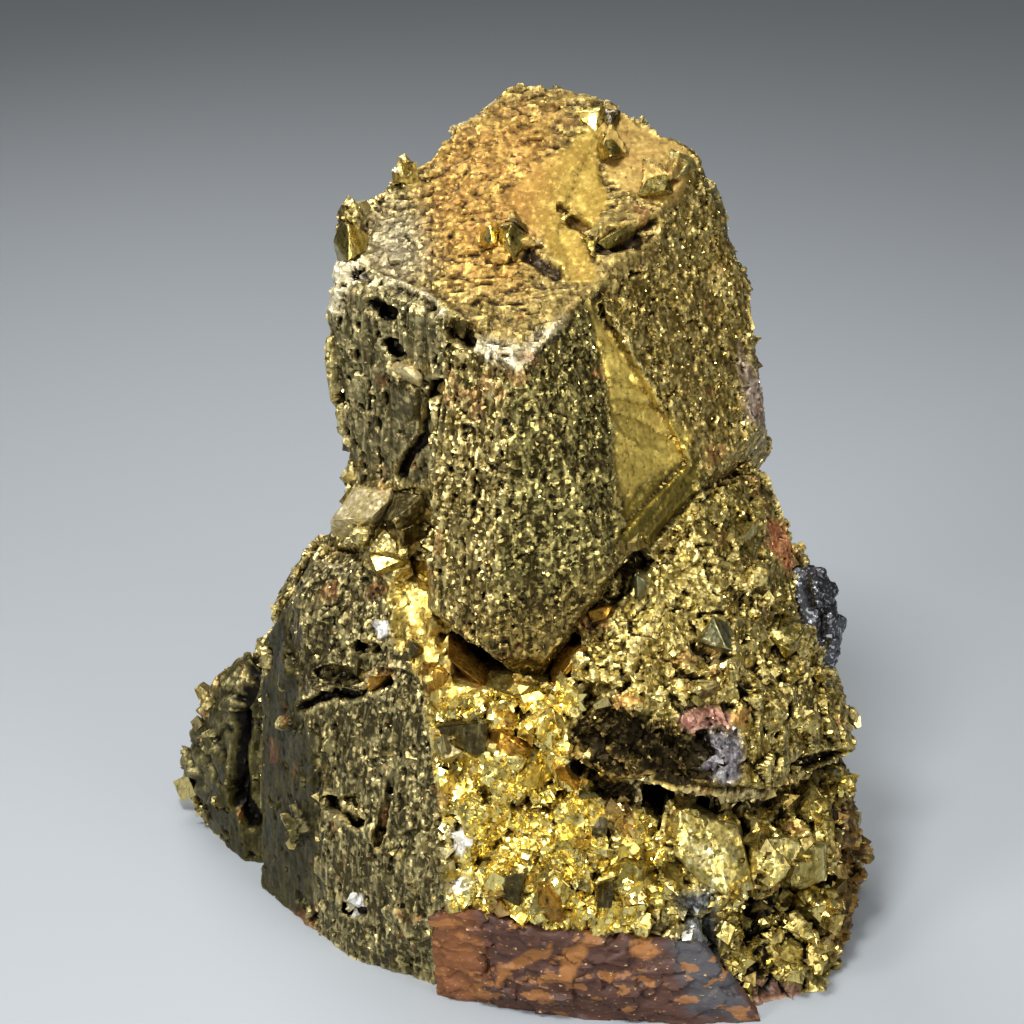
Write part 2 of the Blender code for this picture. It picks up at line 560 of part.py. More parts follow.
def tidy(body):
    """Merge the slivers that the cuts leave, and fill the voids that were closed in between crystals."""
    shape = bmesh.new()
    shape.from_mesh(body.data)
    bmesh.ops.remove_doubles(shape, verts=shape.verts[:], dist=NARROWEST_EDGE * MM)
    skins = sorted(shells(shape), key=lambda faces: sum(face.calc_area() for face in faces))
    for skin in skins[:-1]:
        bmesh.ops.delete(shape, geom=skin, context="FACES")
    bmesh.ops.dissolve_limit(shape, angle_limit=SAME_FACE, verts=shape.verts[:], edges=shape.edges[:])
    bmesh.ops.dissolve_degenerate(shape, dist=NARROWEST_EDGE * MM, edges=shape.edges[:])
    bmesh.ops.triangulate(shape, faces=shape.faces[:])
    shape.to_mesh(body.data)
    shape.free()


def finish(body, name, colour, roughness, metallic):
    """Give the body its one material."""
    made = bpy.data.materials.new(name)
    made.use_nodes = True
    shader = made.node_tree.nodes["Principled BSDF"]
    shader.inputs["Base Color"].default_value = (*colour, 1.0)
    shader.inputs["Roughness"].default_value = roughness
    shader.inputs["Metallic"].default_value = metallic
    body.data.materials.clear()
    body.data.materials.append(made)


def build_cluster(dice):
    body = add_object("chalcopyrite_cluster", cut_crystal(BIG_CRYSTAL, BIG_CRYSTAL_INSIDE))
    forms = {
        "left lobe": LEFT_LOBE,
        "front slope": FRONT_SLOPE,
        "upper right lobe": UPPER_RIGHT_LOBE,
        "right lobe": RIGHT_LOBE,
        "right foot": RIGHT_FOOT,
        "pale crystal": PALE_CRYSTAL,
        "left lump": LEFT_LUMP,
    }
    others = [add_object("left crystal", cut_crystal(LEFT_CRYSTAL, LEFT_CRYSTAL_INSIDE))]
    for number, (name, corners) in enumerate(forms.items()):
        others.append(add_object(name, hull(deepened(corners.values(), FOOT_DEPTH + number * FOOT_STEP))))
    join(body, others, "UNION")
    join(body, scattered_blocks(body, dice), "UNION")
    join(body, scattered_crystals(body, dice) + placed_crystals(CRYSTALS), "UNION")
    cutters = placed_crystals(PITS, PIT_BLUNT)
    cutters += [add_object(name, hull(crevice_corners(*crevice))) for name, crevice in CREVICES.items()]
    cutters.append(add_object("smooth face", hull(SMOOTH_FACE.values())))
    cutters.append(add_object("room for the matrix", room_for(deepened(MATRIX.values(), MATRIX_ROOM_DEPTH))))
    lump_room = deepened(MATRIX_LUMP_ROOM.values(), MATRIX_ROOM_DEPTH + FOOT_STEP)
    cutters.append(add_object("room for the matrix's lumps", hull(lump_room)))
    cutters.append(add_object("room for the grey crystal", room_for(GREY_CRYSTAL.values())))
    for name, (place, direction, turn, size) in GREY_STEPS.items():
        cutters.append(add_object(name, room_for(wedge_corners(Vector(place), toward(direction), turn, size))))
    join(body, cutters, "DIFFERENCE")
    clear_below_floor(body)
    tidy(body)
    finish(body, "chalcopyrite", (0.42, 0.30, 0.09), 0.4, 0.9)
    return body


def build_matrix(dice):
    body = add_object("iron_stained_matrix", hull(deepened(MATRIX.values(), FOOT_DEPTH)))
    low, high = MATRIX_LUMP_BOX
    lumps = []
    for number, (point, normal) in enumerate(surface_points(body, low, high, MATRIX_LUMPS, dice)):
        width = dice.uniform(*MATRIX_LUMP_SIZES)
        size = (width, width * 0.8, width * 0.3)
        corners = wedge_corners(point, tilted(normal, 0, MATRIX_LUMP_TILT, dice), dice.uniform(0, 360), size, 0.3)
        lumps.append(add_object(f"lump {number}", hull(corners)))
    join(body, lumps, "UNION")
    cracks = [add_object(name, hull(crevice_corners(*crack))) for name, crack in MATRIX_CREVICES.items()]
    join(body, cracks, "DIFFERENCE")
    clear_below_floor(body)
    tidy(body)
    finish(body, "iron-stained rock", (0.15, 0.06, 0.04), 0.8, 0.0)
    return body


def build_grey_crystal():
    body = add_object("dark_grey_crystal", hull(GREY_CRYSTAL.values()))
    join(body, placed_crystals(GREY_STEPS), "UNION")
    tidy(body)
    finish(body, "dark sulphide", (0.05, 0.05, 0.055), 0.35, 0.7)
    return body


def stand_on_origin(bodies):
    """Move the bodies so that the middle of their box's underside is at the origin."""
    corners = [corner.co for body in bodies for corner in body.data.vertices]
    lows = [min(corner[axis] for corner in corners) for axis in range(3)]
    highs = [max(corner[axis] for corner in corners) for axis in range(3)]
    middle = Vector(((lows[0] + highs[0]) / 2, (lows[1] + highs[1]) / 2, lows[2]))
    for body in bodies:
        body.data.transform(Matrix.Translation(-middle))


def main():
    clear_scene()
    dice = random.Random(SEED)
    stand_on_origin([build_cluster(dice), build_matrix(dice), build_grey_crystal()])


main()
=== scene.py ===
"""A chalcopyrite specimen: a tarnished brassy crystal on a foot of smaller ones, with iron-stained rock.

Lengths are in millimetres until a mesh is made. X is to the right, Y to the back and Z up. The surface of
each solid is made finer and given the relief of its zone. Then crystals are set on it: those that the
photograph shows, one by one, and thousands of small ones.
"""

import itertools
import math

import bmesh
import bpy
import numpy as np
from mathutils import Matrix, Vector
from mathutils.bvhtree import BVHTree

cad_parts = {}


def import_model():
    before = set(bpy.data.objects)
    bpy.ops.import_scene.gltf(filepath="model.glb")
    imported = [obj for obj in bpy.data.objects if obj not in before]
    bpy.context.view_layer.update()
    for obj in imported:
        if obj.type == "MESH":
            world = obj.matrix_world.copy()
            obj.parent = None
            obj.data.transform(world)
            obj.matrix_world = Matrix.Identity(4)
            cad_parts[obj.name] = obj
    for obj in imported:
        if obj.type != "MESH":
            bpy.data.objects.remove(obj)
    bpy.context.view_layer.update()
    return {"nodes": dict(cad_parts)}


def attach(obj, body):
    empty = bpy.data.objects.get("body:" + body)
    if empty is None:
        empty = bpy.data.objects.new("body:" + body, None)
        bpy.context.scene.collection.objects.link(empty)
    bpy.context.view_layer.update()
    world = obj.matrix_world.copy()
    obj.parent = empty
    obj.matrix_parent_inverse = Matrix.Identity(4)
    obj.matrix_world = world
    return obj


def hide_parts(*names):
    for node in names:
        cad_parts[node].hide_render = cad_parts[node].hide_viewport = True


MM = 0.001
SEED = 23

# The camera, in front of the specimen and above it
PHOTO_SIDE = 1024
AIM = np.array((-1.05, -1.49, 57.1))
CAMERA_DISTANCE = 450.0
CAMERA_DOWN = math.radians(25.0)
MM_PER_PIXEL = 0.13
SENSOR = 36.0
LOOKING = np.array((0.0, math.cos(CAMERA_DOWN), -math.sin(CAMERA_DOWN)))
UPWARD = np.array((0.0, math.sin(CAMERA_DOWN), math.cos(CAMERA_DOWN)))
EYE = AIM - CAMERA_DISTANCE * LOOKING

# How fine the surfaces are made, in millimetres, and from what angle their edges are sharp, in degrees
VOXEL = 0.36
FINE_VOXEL = 0.3
SAME_CORNER = 0.001
FLOOR_BAND = 0.25
SHARP_FROM = 24.0
ROCK_SHARP_FROM = 60.0

# Zones of the surface by their outlines in the photograph, in its pixels. Where two overlap, the first
# counts. Their edges waver and are soft.
ZONES = {
    "striated face": ((618, 500), (650, 478), (690, 462), (704, 468), (686, 512), (645, 545), (618, 545)),
    "smooth face": ((590, 300), (604, 325), (626, 355), (654, 390), (656, 408), (686, 437), (690, 462),
        (650, 480), (616, 502), (616, 442), (612, 407), (600, 370)),
    "stripe": ((569, 145), (580, 130), (600, 128), (598, 170), (606, 200), (596, 218), (590, 280),
        (574, 284), (556, 262), (546, 236), (528, 224), (504, 196), (543, 158)),
    "top right": ((600, 128), (606, 108), (620, 104), (655, 130), (700, 160), (676, 205), (640, 200),
        (604, 176)),
    "top": ((343, 264), (340, 240), (365, 222), (397, 190), (430, 150), (485, 105), (515, 80), (560, 86),
        (620, 104), (670, 141), (700, 160), (672, 205), (655, 258), (600, 284), (560, 325), (518, 370),
        (485, 345), (465, 324), (440, 304), (420, 289), (380, 278)),
    "left face": ((330, 280), (380, 281), (420, 291), (444, 314), (441, 400), (434, 482), (352, 480),
        (342, 400), (328, 310)),
    "bright edge": ((444, 314), (485, 346), (506, 362), (508, 440), (500, 540), (486, 640), (468, 652),
        (438, 620), (432, 480), (441, 400)),
    "middle face": ((506, 362), (518, 370), (545, 335), (592, 300), (604, 372), (618, 440), (618, 548),
        (600, 622), (540, 686), (500, 682), (468, 652), (486, 640), (500, 540), (508, 440)),
    "right face": ((598, 288), (652, 262), (670, 205), (700, 160), (716, 195), (738, 245), (750, 320),
        (762, 365), (766, 430), (766, 462), (700, 487), (690, 462), (660, 410), (630, 385), (603, 330)),
    "lobe side": ((290, 600), (296, 680), (321, 780), (314, 900), (306, 928), (262, 892), (225, 845),
        (205, 805), (240, 700), (246, 652), (278, 616)),
    "lobe front": ((300, 560), (394, 556), (384, 600), (392, 640), (428, 700), (440, 800), (452, 905),
        (432, 990), (350, 962), (308, 928), (315, 880), (321, 780), (296, 680), (290, 600)),
    "upper bright slope": ((376, 586), (434, 556), (447, 583), (452, 641), (505, 690), (436, 700),
        (398, 650), (384, 620)),
    "bright slope": ((430, 698), (470, 676), (500, 690), (540, 690), (585, 664), (570, 720), (578, 765),
        (602, 800), (650, 812), (668, 850), (664, 905), (640, 938), (560, 938), (450, 908), (438, 800)),
    "right slope": ((540, 686), (600, 622), (640, 575), (700, 487), (766, 470), (794, 545), (832, 675),
        (856, 745), (842, 760), (760, 802), (650, 802), (590, 790), (572, 720), (585, 664)),
    "right foot": ((640, 812), (700, 802), (856, 768), (862, 860), (864, 890), (840, 964), (800, 1024),
        (745, 1010), (684, 935), (664, 905), (668, 850)),
    "lump": ((176, 800), (178, 770), (188, 715), (215, 685), (246, 650), (240, 700), (226, 790),
        (250, 870), (225, 850)),
}
ZONE_EDGE = 5.0
ZONE_WOBBLE = 5.0

# The finish of each zone and crystal: the colours of its ground, its bright grains and its hollows, how
# metallic it is, how rough, and how much of it is fine grains
FINISHES = {
    "smooth face": ("#CEB256", "#DFC766", "#755F28", 0.8, 0.34, 0.08),
    "striated face": ("#6E6026", "#A8923F", "#3B300F", 0.8, 0.36, 0.2),
    "stripe": ("#92762A", "#D6BA60", "#5E461A", 0.65, 0.4, 0.1),
    "top": ("#6C5826", "#D0B668", "#322512", 0.65, 0.46, 0.5),
    "top right": ("#96783A", "#CCAE60", "#64491E", 0.65, 0.44, 0.15),
    "left face": ("#5E5432", "#D4C48A", "#1B160A", 0.85, 0.42, 0.45),
    "bright edge": ("#6F5E2C", "#EED890", "#1E170A", 0.9, 0.38, 0.7),
    "middle face": ("#413616", "#EAD884", "#151006", 0.9, 0.38, 0.6),
    "right face": ("#79642C", "#F6DE8C", "#2C210D", 0.9, 0.38, 0.5),
    "lobe side": ("#3C361A", "#686034", "#14100A", 0.8, 0.46, 0.3),
    "lobe front": ("#483E20", "#E4D290", "#120E06", 0.85, 0.42, 0.4),
    "upper bright slope": ("#BFA148", "#F5E08C", "#564516", 0.85, 0.38, 0.25),
    "bright slope": ("#D8BC56", "#FCEC98", "#45360F", 0.9, 0.3, 0.12),
    "right slope": ("#83702F", "#F4DE8E", "#251D0B", 0.9, 0.38, 0.6),
    "right foot": ("#82702E", "#F6E088", "#1E160A", 0.9, 0.34, 0.3),
    "lump": ("#524C2C", "#9C9060", "#141008", 0.8, 0.44, 0.25),
    "back": ("#7E6C38", "#E6D38C", "#2A210E", 0.9, 0.4, 0.7),
    "honey": ("#9A8840", "#EEDF98", "#3A2F14", 0.95, 0.28, 0.15),
    "brass": ("#DCBC5C", "#FFF2B0", "#6A5020", 0.95, 0.28, 0.1),
    "dark": ("#4E4428", "#A08E56", "#16110A", 0.95, 0.3, 0.2),
    "amber": ("#9A7028", "#E6B44A", "#3A250C", 0.9, 0.3, 0.15),
    "pale": ("#AA9850", "#F4E8AA", "#4A3F1E", 0.9, 0.32, 0.3),
    "cream": ("#C4B078", "#FBF0C8", "#665530", 0.6, 0.36, 0.3),
    "plate": ("#7E7A54", "#C6C294", "#2E2C1A", 0.9, 0.34, 0.2),
    "steel": ("#6A675C", "#BDB9A8", "#222019", 0.9, 0.34, 0.3),
}

# Stains and patches, with painted shade and painted highlights among them: outline in the photograph's
# pixels, how softly it ends, its colours, and how metallic
# The colours and metal of painted white highlights
PAINTED_GLINT = ("#F0EEE6", "#FFFFFF", 0.1)
STAINS_AND_PAINTED_LIGHT = {
    "overhang shade": (((572, 738), (600, 756), (640, 766), (700, 776), (770, 788), (836, 768),
        (800, 806), (700, 812), (600, 806), (574, 778)), 7, "#1E170A", "#7A6228", 0.9),
    # Painted shade: the lower part of the middle face, under the toe, made darker
    "painted shade on the lower middle face": (((440, 622), (470, 655), (540, 690), (604, 622), (620, 560), (560, 590),
        (500, 605)), 22, "#43361A", "#C2A85C", 0.9),
    "ochre": (((430, 150), (500, 105), (560, 110), (545, 200), (520, 290), (450, 285), (425, 230)), 26,
        "#8E6526", "#DDB45A", 0.6),
    # Painted shade in the hollow under the overhanging rim
    "recess with painted shade": (((584, 700), (640, 712), (694, 735), (706, 775), (700, 798), (650, 800), (596, 790),
        (570, 755)), 8, "#30240E", "#B89A50", 0.9),
    "pink stain": (((679, 717), (688, 708), (712, 704), (738, 712), (731, 727), (706, 733), (685, 730)),
        4, "#9A6254", "#CF9C8A", 0.3),
    "orange rim": (((606, 700), (622, 694), (642, 702), (628, 711), (610, 708)), 4, "#B07A34", "#E0AE60",
        0.5),
    "orange end": (((733, 710), (748, 708), (748, 722), (736, 726)), 3, "#C48A3A", "#EDBE6C", 0.4),
    "grey patch": (((700, 734), (738, 730), (744, 775), (722, 786), (702, 770)), 7, "#66606A", "#B9B6BE",
        0.8),
    "flank stain": (((764, 515), (782, 524), (802, 562), (786, 572), (766, 545)), 5, "#A4552F", "#DE9A66",
        0.4),
    "side stain": (((742, 342), (764, 384), (768, 430), (744, 420)), 7, "#857062", "#CDBCAA", 0.6),
    "grey corner": (((345, 262), (362, 230), (400, 205), (420, 225), (424, 262), (400, 284)), 30,
        "#857A5E", "#CFC49A", 0.7),
    "pale tip": (((468, 336), (500, 340), (520, 350), (545, 330), (562, 318), (519, 374), (498, 366)), 9,
        "#A39874", "#E6DEC0", 0.7),
    "blue patch": (((676, 896), (712, 892), (722, 964), (690, 976)), 9, "#41464B", "#8B9299", 0.7),
    "low maroon": (((755, 990), (773, 980), (800, 984), (800, 1030), (752, 1012)), 5, "#5F3B34",
        "#A9796A", 0.1),
    "foot rust": (((262, 905), (310, 922), (312, 945), (280, 930)), 5, "#5B3620", "#9A6A3E", 0.3),
    "flank brown": (((828, 800), (870, 800), (876, 970), (826, 960), (836, 880)), 8, "#3C2A14", "#8A6228",
        0.7),
    "toe": (((498, 660), (545, 658), (575, 650), (540, 690), (500, 686), (462, 656)), 6, "#6A5420",
        "#A98A3A", 0.9),
    # Painted highlights: white glints laid on as colour
    "white glint, upper": (((446, 834), (462, 831), (471, 842), (463, 857), (448, 852)), 2, *PAINTED_GLINT),
    "white glint, lower": (((453, 878), (467, 876), (471, 891), (458, 898)), 2, *PAINTED_GLINT),
    "white glint on the left": (((374, 626), (386, 623), (389, 636), (378, 641)), 2, *PAINTED_GLINT),
    "white glint on the foot": (((348, 899), (361, 896), (364, 912), (351, 915)), 2, *PAINTED_GLINT),
    "corner cream": (((327, 310), (334, 262), (366, 262), (366, 277), (347, 287), (342, 320)), 4,
        "#CDBE8C", "#FFF6D8", 0.5),
}

# A cream stain along two edges
CREAM = ("#BFAE7E", "#FBF1CE", 0.5)
CREAM_RIM = ((362, 279), (380, 280), (402, 286), (420, 291), (432, 302), (446, 316))
CREAM_RIM_LOW = ((474, 346), (490, 352), (505, 362), (519, 371), (532, 358))
RIM_WIDTH = 3.2

# Two kinds of patches scattered over what the photograph doesn't show, and specks of rust all over
GREYER = ("#474030", "#B7A878", 0.85)
GOLDER = ("#B8983E", "#F6E08C", 0.85)
RUST = ("#7C4A22", "#C48A4C", 0.6)

# Pits and crevices: depth in millimetres, half the width in pixels, and the line that they follow
DENTS = {
    "upper pit of the left face": (2.4, 7, ((373, 304), (388, 314))),
    "lower pit of the left face": (2.2, 6, ((388, 344), (398, 352))),
    "crevice between the faces": (2.8, 6, ((437, 386), (431, 404), (427, 432))),
    "end of that crevice": (1.6, 5, ((422, 442), (411, 452), (402, 474))),
    "pit in the rim": (2.4, 8, ((458, 330), (466, 340))),
    "cavity": (1.2, 10, ((606, 244), (630, 236), (650, 228))),
    "hole in the cavity": (2.8, 6, ((640, 229), (651, 223))),
    "hole above the group": (1.2, 4, ((561, 206), (566, 209))),
    "rough patch": (1.2, 6, ((574, 222), (592, 232))),
    "rough pit": (1.0, 6, ((528, 256), (545, 266), (556, 272))),
    "lobe pit": (2.0, 5, ((362, 647), (372, 648))),
    "black hole": (3.2, 6, ((329, 803), (344, 812), (356, 820))),
    "ledge of the lobe": (1.6, 4, ((300, 706), (330, 694), (356, 694), (388, 682))),
    "low lobe pit": (1.2, 4, ((346, 908), (362, 912))),
    "cleft of the lump": (3.0, 8, ((262, 655), (243, 700), (238, 760), (240, 800), (252, 820))),
    "shadow band": (3.0, 11, ((578, 772), (597, 788), (630, 794), (655, 792), (700, 800), (735, 798),
        (765, 804))),
    "recess with painted shade": (1.6, 26, ((610, 735), (650, 752), (684, 765))),
    "notch": (2.0, 6, ((704, 738), (710, 752))),
    "under the plate": (1.2, 4, ((694, 646), (710, 657), (728, 660))),
    "under the gold group": (1.4, 5, ((778, 650), (788, 662))),
    "slit by the amber crystal": (1.6, 4, ((572, 765), (590, 764))),
    "long crevice": (3.0, 7, ((748, 890), (783, 899), (813, 916), (825, 938))),
    "valley": (1.8, 13, ((756, 912), (757, 950), (765, 985))),
    "left of the flat crystal": (1.6, 7, ((662, 800), (668, 828))),
    "right of the flat crystal": (2.0, 4, ((743, 818), (750, 856), (756, 888))),
    "notch on the right": (1.8, 7, ((842, 757), (815, 762), (800, 770))),
    "growth line": (0.22, 2.2, ((600, 405), (622, 400), (650, 404), (668, 420))),
    "second growth line": (0.18, 2.2, ((612, 414), (640, 420), (662, 434), (684, 440))),
    "pale line": (-0.2, 2.2, ((614, 428), (640, 448), (660, 452), (686, 446), (690, 462))),
    "third growth line": (0.16, 2.0, ((600, 382), (628, 378), (646, 392))),
    "fourth growth line": (0.14, 2.0, ((596, 352), (618, 350))),
}

# How far in and out the relief may go and how deep the dents, in millimetres, how much painted shade darkens
# the surface in the dents, and the zones that are nearly free of the unevenness that all share
RELIEF_LIMITS = (-1.5, 1.0)
DEEPEST_DENT = -3.4
DENT_SHADE = 0.15
CALM_ZONES = ("smooth face", "striated face", "stripe", "top right", "lobe side")

# Crystals that stand out in the photograph: finish, outline in its pixels, how far the outline stands proud
# of the surface in millimetres, and peaks with their own heights
CRYSTALS = {
    "left corner": ("honey", ((346, 221), (370, 236), (366, 249), (349, 262), (337, 262), (333, 242),
        (340, 224)), 0.3, ((348, 224, 3.0), (353, 257, 1.8))),
    "upper left": ("honey", ((401, 163), (414, 161), (412, 171), (408, 181), (401, 180)), 0.2,
        ((407, 165, 1.6),)),
    "top group, left": ("brass", ((480, 226), (492, 222), (499, 228), (497, 246), (484, 250), (479, 240)),
        0.4, ((490, 226, 2.2), (493, 244, 1.8))),
    "top group, right": ("honey", ((497, 226), (511, 220), (522, 227), (530, 238), (521, 251), (514, 263),
        (505, 250), (498, 240)), 0.3, ((511, 224, 3.4), (513, 258, 1.2), (506, 238, 2.8))),
    "top group, back": ("dark", ((503, 221), (515, 217), (527, 225), (529, 234), (516, 231)), 0.4,
        ((518, 223, 2.4),)),
    "pale triangle": ("brass", ((577, 111), (604, 106), (606, 119), (596, 132), (580, 119)), 0.1,
        ((598, 112, 0.9),)),
    "beside the pale triangle": ("dark", ((604, 107), (621, 110), (619, 123), (609, 127), (603, 118)),
        0.3, ((610, 113, 1.8),)),
    "triangle": ("honey", ((602, 131), (614, 140), (626, 154), (613, 158), (599, 161), (596, 146)), 0.2,
        ((603, 134, 2.0), (611, 156, 2.6))),
    "right corner": ("honey", ((660, 162), (669, 176), (674, 193), (655, 197), (636, 196), (646, 180)),
        0.3, ((661, 166, 1.6), (664, 190, 2.8))),
    "corner chip": ("pale", ((670, 148), (694, 158), (698, 169), (676, 178), (667, 165)), 0.2,
        ((690, 163, 1.2),)),
    "cavity rim": ("honey", ((596, 243), (613, 231), (632, 222), (638, 232), (626, 243), (607, 250)), 0.1,
        ((612, 237, 1.0), (626, 232, 1.2))),
    "in the rim's pit": ("dark", ((449, 320), (468, 321), (470, 334), (463, 341), (455, 332)), 0.5,
        ((466, 324, 1.6),)),
    "cream chip": ("cream", ((384, 372), (396, 361), (414, 366), (423, 377), (420, 387), (408, 379)), 0.5,
        ((404, 368, 1.8), (418, 380, 1.6))),
    "block under the chip": ("left face", ((388, 382), (408, 380), (420, 388), (421, 420), (405, 427),
        (388, 415)), 0.3, ((400, 388, 1.5), (415, 392, 1.6), (412, 416, 1.2))),
    "tabular crystal": ("cream", ((330, 521), (354, 486), (392, 486), (396, 497), (379, 525), (346, 538),
        (331, 535)), 0.6, ((332, 520, 2.0), (371, 517, 3.6), (386, 503, 3.2), (356, 490, 1.4))),
    "beside the tabular crystal": ("left face", ((393, 492), (423, 495), (427, 512), (408, 521),
        (383, 521)), 0.6, ((395, 494, 2.0), (421, 500, 1.6), (400, 514, 2.4))),
    "black wedge": ("dark", ((379, 527), (414, 522), (427, 533), (417, 542), (404, 546), (394, 537)), 0.4,
        ((414, 525, 1.8), (402, 530, 1.8))),
    "striated ledge": ("honey", ((360, 556), (367, 549), (391, 550), (409, 559), (406, 570), (378, 580),
        (363, 566)), 0.6, ((368, 553, 2.0), (404, 560, 2.8), (376, 572, 3.0))),
    "dark one on the slope": ("dark", ((399, 659), (411, 637), (424, 647), (421, 654), (405, 663)), 0.3,
        ((411, 641, 2.0), (418, 650, 1.6))),
    "amber one on the slope": ("amber", ((421, 683), (422, 661), (438, 662), (453, 674), (443, 686),
        (427, 694)), 0.4, ((424, 665, 2.4), (448, 674, 1.8), (428, 688, 1.4))),
    "amber ledge": ("amber", ((357, 688), (372, 676), (393, 672), (391, 681), (372, 691)), 0.4,
        ((378, 680, 1.6),)),
    "dark striated crystal": ("dark", ((432, 727), (446, 721), (483, 717), (489, 722), (487, 750),
        (477, 759), (455, 747)), 0.4, ((438, 727, 1.2), (484, 722, 3.2), (478, 754, 1.6))),
    "orange striped crystal": ("amber", ((490, 732), (501, 728), (536, 748), (526, 759), (501, 762),
        (490, 757)), 0.3, ((500, 731, 1.6), (526, 750, 2.2))),
    "bright point, left": ("brass", ((492, 710), (507, 706), (520, 717), (507, 730)), 0.4,
        ((506, 710, 2.0), (512, 722, 1.4))),
    "bright point, right": ("brass", ((552, 703), (566, 723), (562, 730), (534, 720)), 0.3,
        ((552, 706, 2.2), (556, 724, 1.6))),
    "plate under the toe": ("brass", ((498, 698), (513, 679), (536, 687), (548, 698), (522, 711)), 0.3,
        ((514, 683, 1.8), (524, 704, 1.4))),
    "amber, right": ("amber", ((553, 769), (564, 763), (583, 781), (578, 791), (559, 789)), 0.4,
        ((563, 767, 2.2), (574, 784, 1.6))),
    "flat crystal": ("pale", ((667, 790), (709, 812), (741, 824), (755, 889), (724, 895), (697, 880),
        (675, 856), (660, 822)), 0.7, ((680, 811, 1.2), (709, 815, 1.8), (738, 826, 1.8), (724, 851, 2.4),
        (752, 884, 1.0), (700, 868, 1.6))),
    "grey one by the slope": ("steel", ((590, 827), (599, 816), (608, 818), (607, 837), (593, 838)), 0.4,
        ((600, 819, 1.6),)),
    "bright spike": ("brass", ((596, 852), (613, 832), (611, 855)), 0.4, ((611, 838, 1.8),)),
    "gold facet": ("brass", ((568, 836), (593, 840), (590, 851), (572, 848)), 0.4, ((576, 838, 1.4),)),
    "olive facets": ("honey", ((599, 873), (626, 856), (658, 866), (642, 883), (614, 884)), 0.4,
        ((627, 861, 2.2), (640, 870, 2.0))),
    "dark triangle": ("dark", ((483, 882), (529, 866), (525, 894), (519, 907), (501, 898)), 0.4,
        ((525, 872, 2.8), (514, 900, 1.2))),
    "tall amber crystal": ("amber", ((535, 882), (547, 881), (562, 899), (564, 922), (550, 923),
        (538, 909)), 0.5, ((544, 885, 2.2), (558, 904, 2.2), (552, 918, 1.2))),
    "dark green crystal": ("dark", ((593, 885), (617, 875), (612, 909), (596, 907)), 0.4,
        ((614, 880, 2.2), (602, 904, 0.8))),
    "left under the toe": ("amber", ((448, 632), (470, 650), (492, 672), (486, 688), (466, 676),
        (448, 658)), 0.3, ((466, 658, 1.0), (480, 676, 1.2))),
    "under the toe": ("honey", ((490, 670), (520, 682), (550, 674), (548, 692), (515, 698), (492, 690)),
        0.3, ((510, 688, 1.2), (536, 686, 1.0))),
    "right under the toe": ("amber", ((548, 674), (568, 654), (580, 636), (588, 648), (572, 670),
        (552, 690)), 0.3, ((566, 664, 1.2), (580, 648, 1.0))),
    "by the toe": ("plate", ((634, 573), (646, 571), (652, 580), (646, 598), (634, 600), (630, 586)), 0.4,
        ((637, 575, 2.4), (648, 583, 1.8), (638, 596, 1.4))),
    "below the toe": ("amber", ((587, 612), (600, 603), (614, 606), (606, 620), (592, 623)), 0.3,
        ((604, 607, 1.6),)),
    "grey-green plate": ("plate", ((704, 638), (713, 614), (730, 621), (732, 650), (722, 655),
        (695, 641)), 0.9, ((713, 618, 1.8), (728, 624, 2.2), (726, 648, 2.4), (702, 639, 2.2))),
    "pale one, right": ("pale", ((739, 539), (746, 522), (760, 518), (757, 534), (748, 541)), 0.3,
        ((756, 523, 1.6),)),
    "gold group": ("honey", ((772, 640), (780, 618), (796, 615), (806, 628), (798, 650), (785, 660)), 0.5,
        ((782, 622, 2.4), (798, 622, 2.6), (790, 650, 1.4))),
    "right foot, top": ("brass", ((746, 811), (768, 808), (768, 830), (750, 832)), 0.5,
        ((766, 812, 1.8),)),
    "right foot, striated": ("pale", ((748, 842), (790, 834), (828, 842), (826, 880), (800, 890),
        (762, 872)), 0.5, ((786, 838, 2.0), (822, 848, 2.4), (800, 884, 1.0))),
}

# Measures of these crystals, in millimetres
CRYSTAL_SINK = 2.2
CRYSTAL_BEVEL = 0.12
DEEPEST_CORNER = 3.0
ROOT_DEPTH = 1.2
LONG_EDGE = 1.0
LOWEST_CORNER = 0.3

# Small crystals on each zone, as grains, blocks and wedges: how many to a square millimetre, narrowest and
# widest, how far they lean, how far their middles stand out, and the share of bright ones
GRAINS = {
    "smooth face": (0.03, 0.3, 0.5, 0.5, -0.1, 0.3),
    "striated face": (0.2, 0.3, 0.5, 0.6, -0.1, 0.4),
    "stripe": (0.1, 0.3, 0.5, 0.4, -0.1, 0.5),
    "top right": (0.3, 0.25, 0.6, 0.5, -0.15, 0.4),
    "top": (0.9, 0.25, 0.7, 0.6, -0.15, 0.3),
    "left face": (0.8, 0.3, 0.8, 0.8, -0.1, 0.15),
    "bright edge": (1.6, 0.3, 0.7, 0.9, -0.05, 0.5),
    "middle face": (1.5, 0.28, 0.6, 1.0, -0.05, 0.5),
    "right face": (0.9, 0.32, 0.65, 1.0, 0.0, 0.8),
    "lobe side": (0.2, 0.25, 0.5, 0.7, -0.1, 0.2),
    "lobe front": (0.9, 0.28, 0.65, 0.9, -0.1, 0.35),
    "upper bright slope": (0.25, 0.3, 0.7, 0.7, -0.1, 0.6),
    "bright slope": (0.15, 0.35, 0.8, 0.7, -0.1, 0.7),
    "right slope": (1.4, 0.28, 0.7, 0.9, -0.1, 0.5),
    "right foot": (0.4, 0.3, 0.8, 0.8, -0.1, 0.5),
    "lump": (0.25, 0.3, 0.6, 0.7, -0.1, 0.2),
    "back": (0.8, 0.28, 0.65, 0.8, -0.15, 0.4),
}
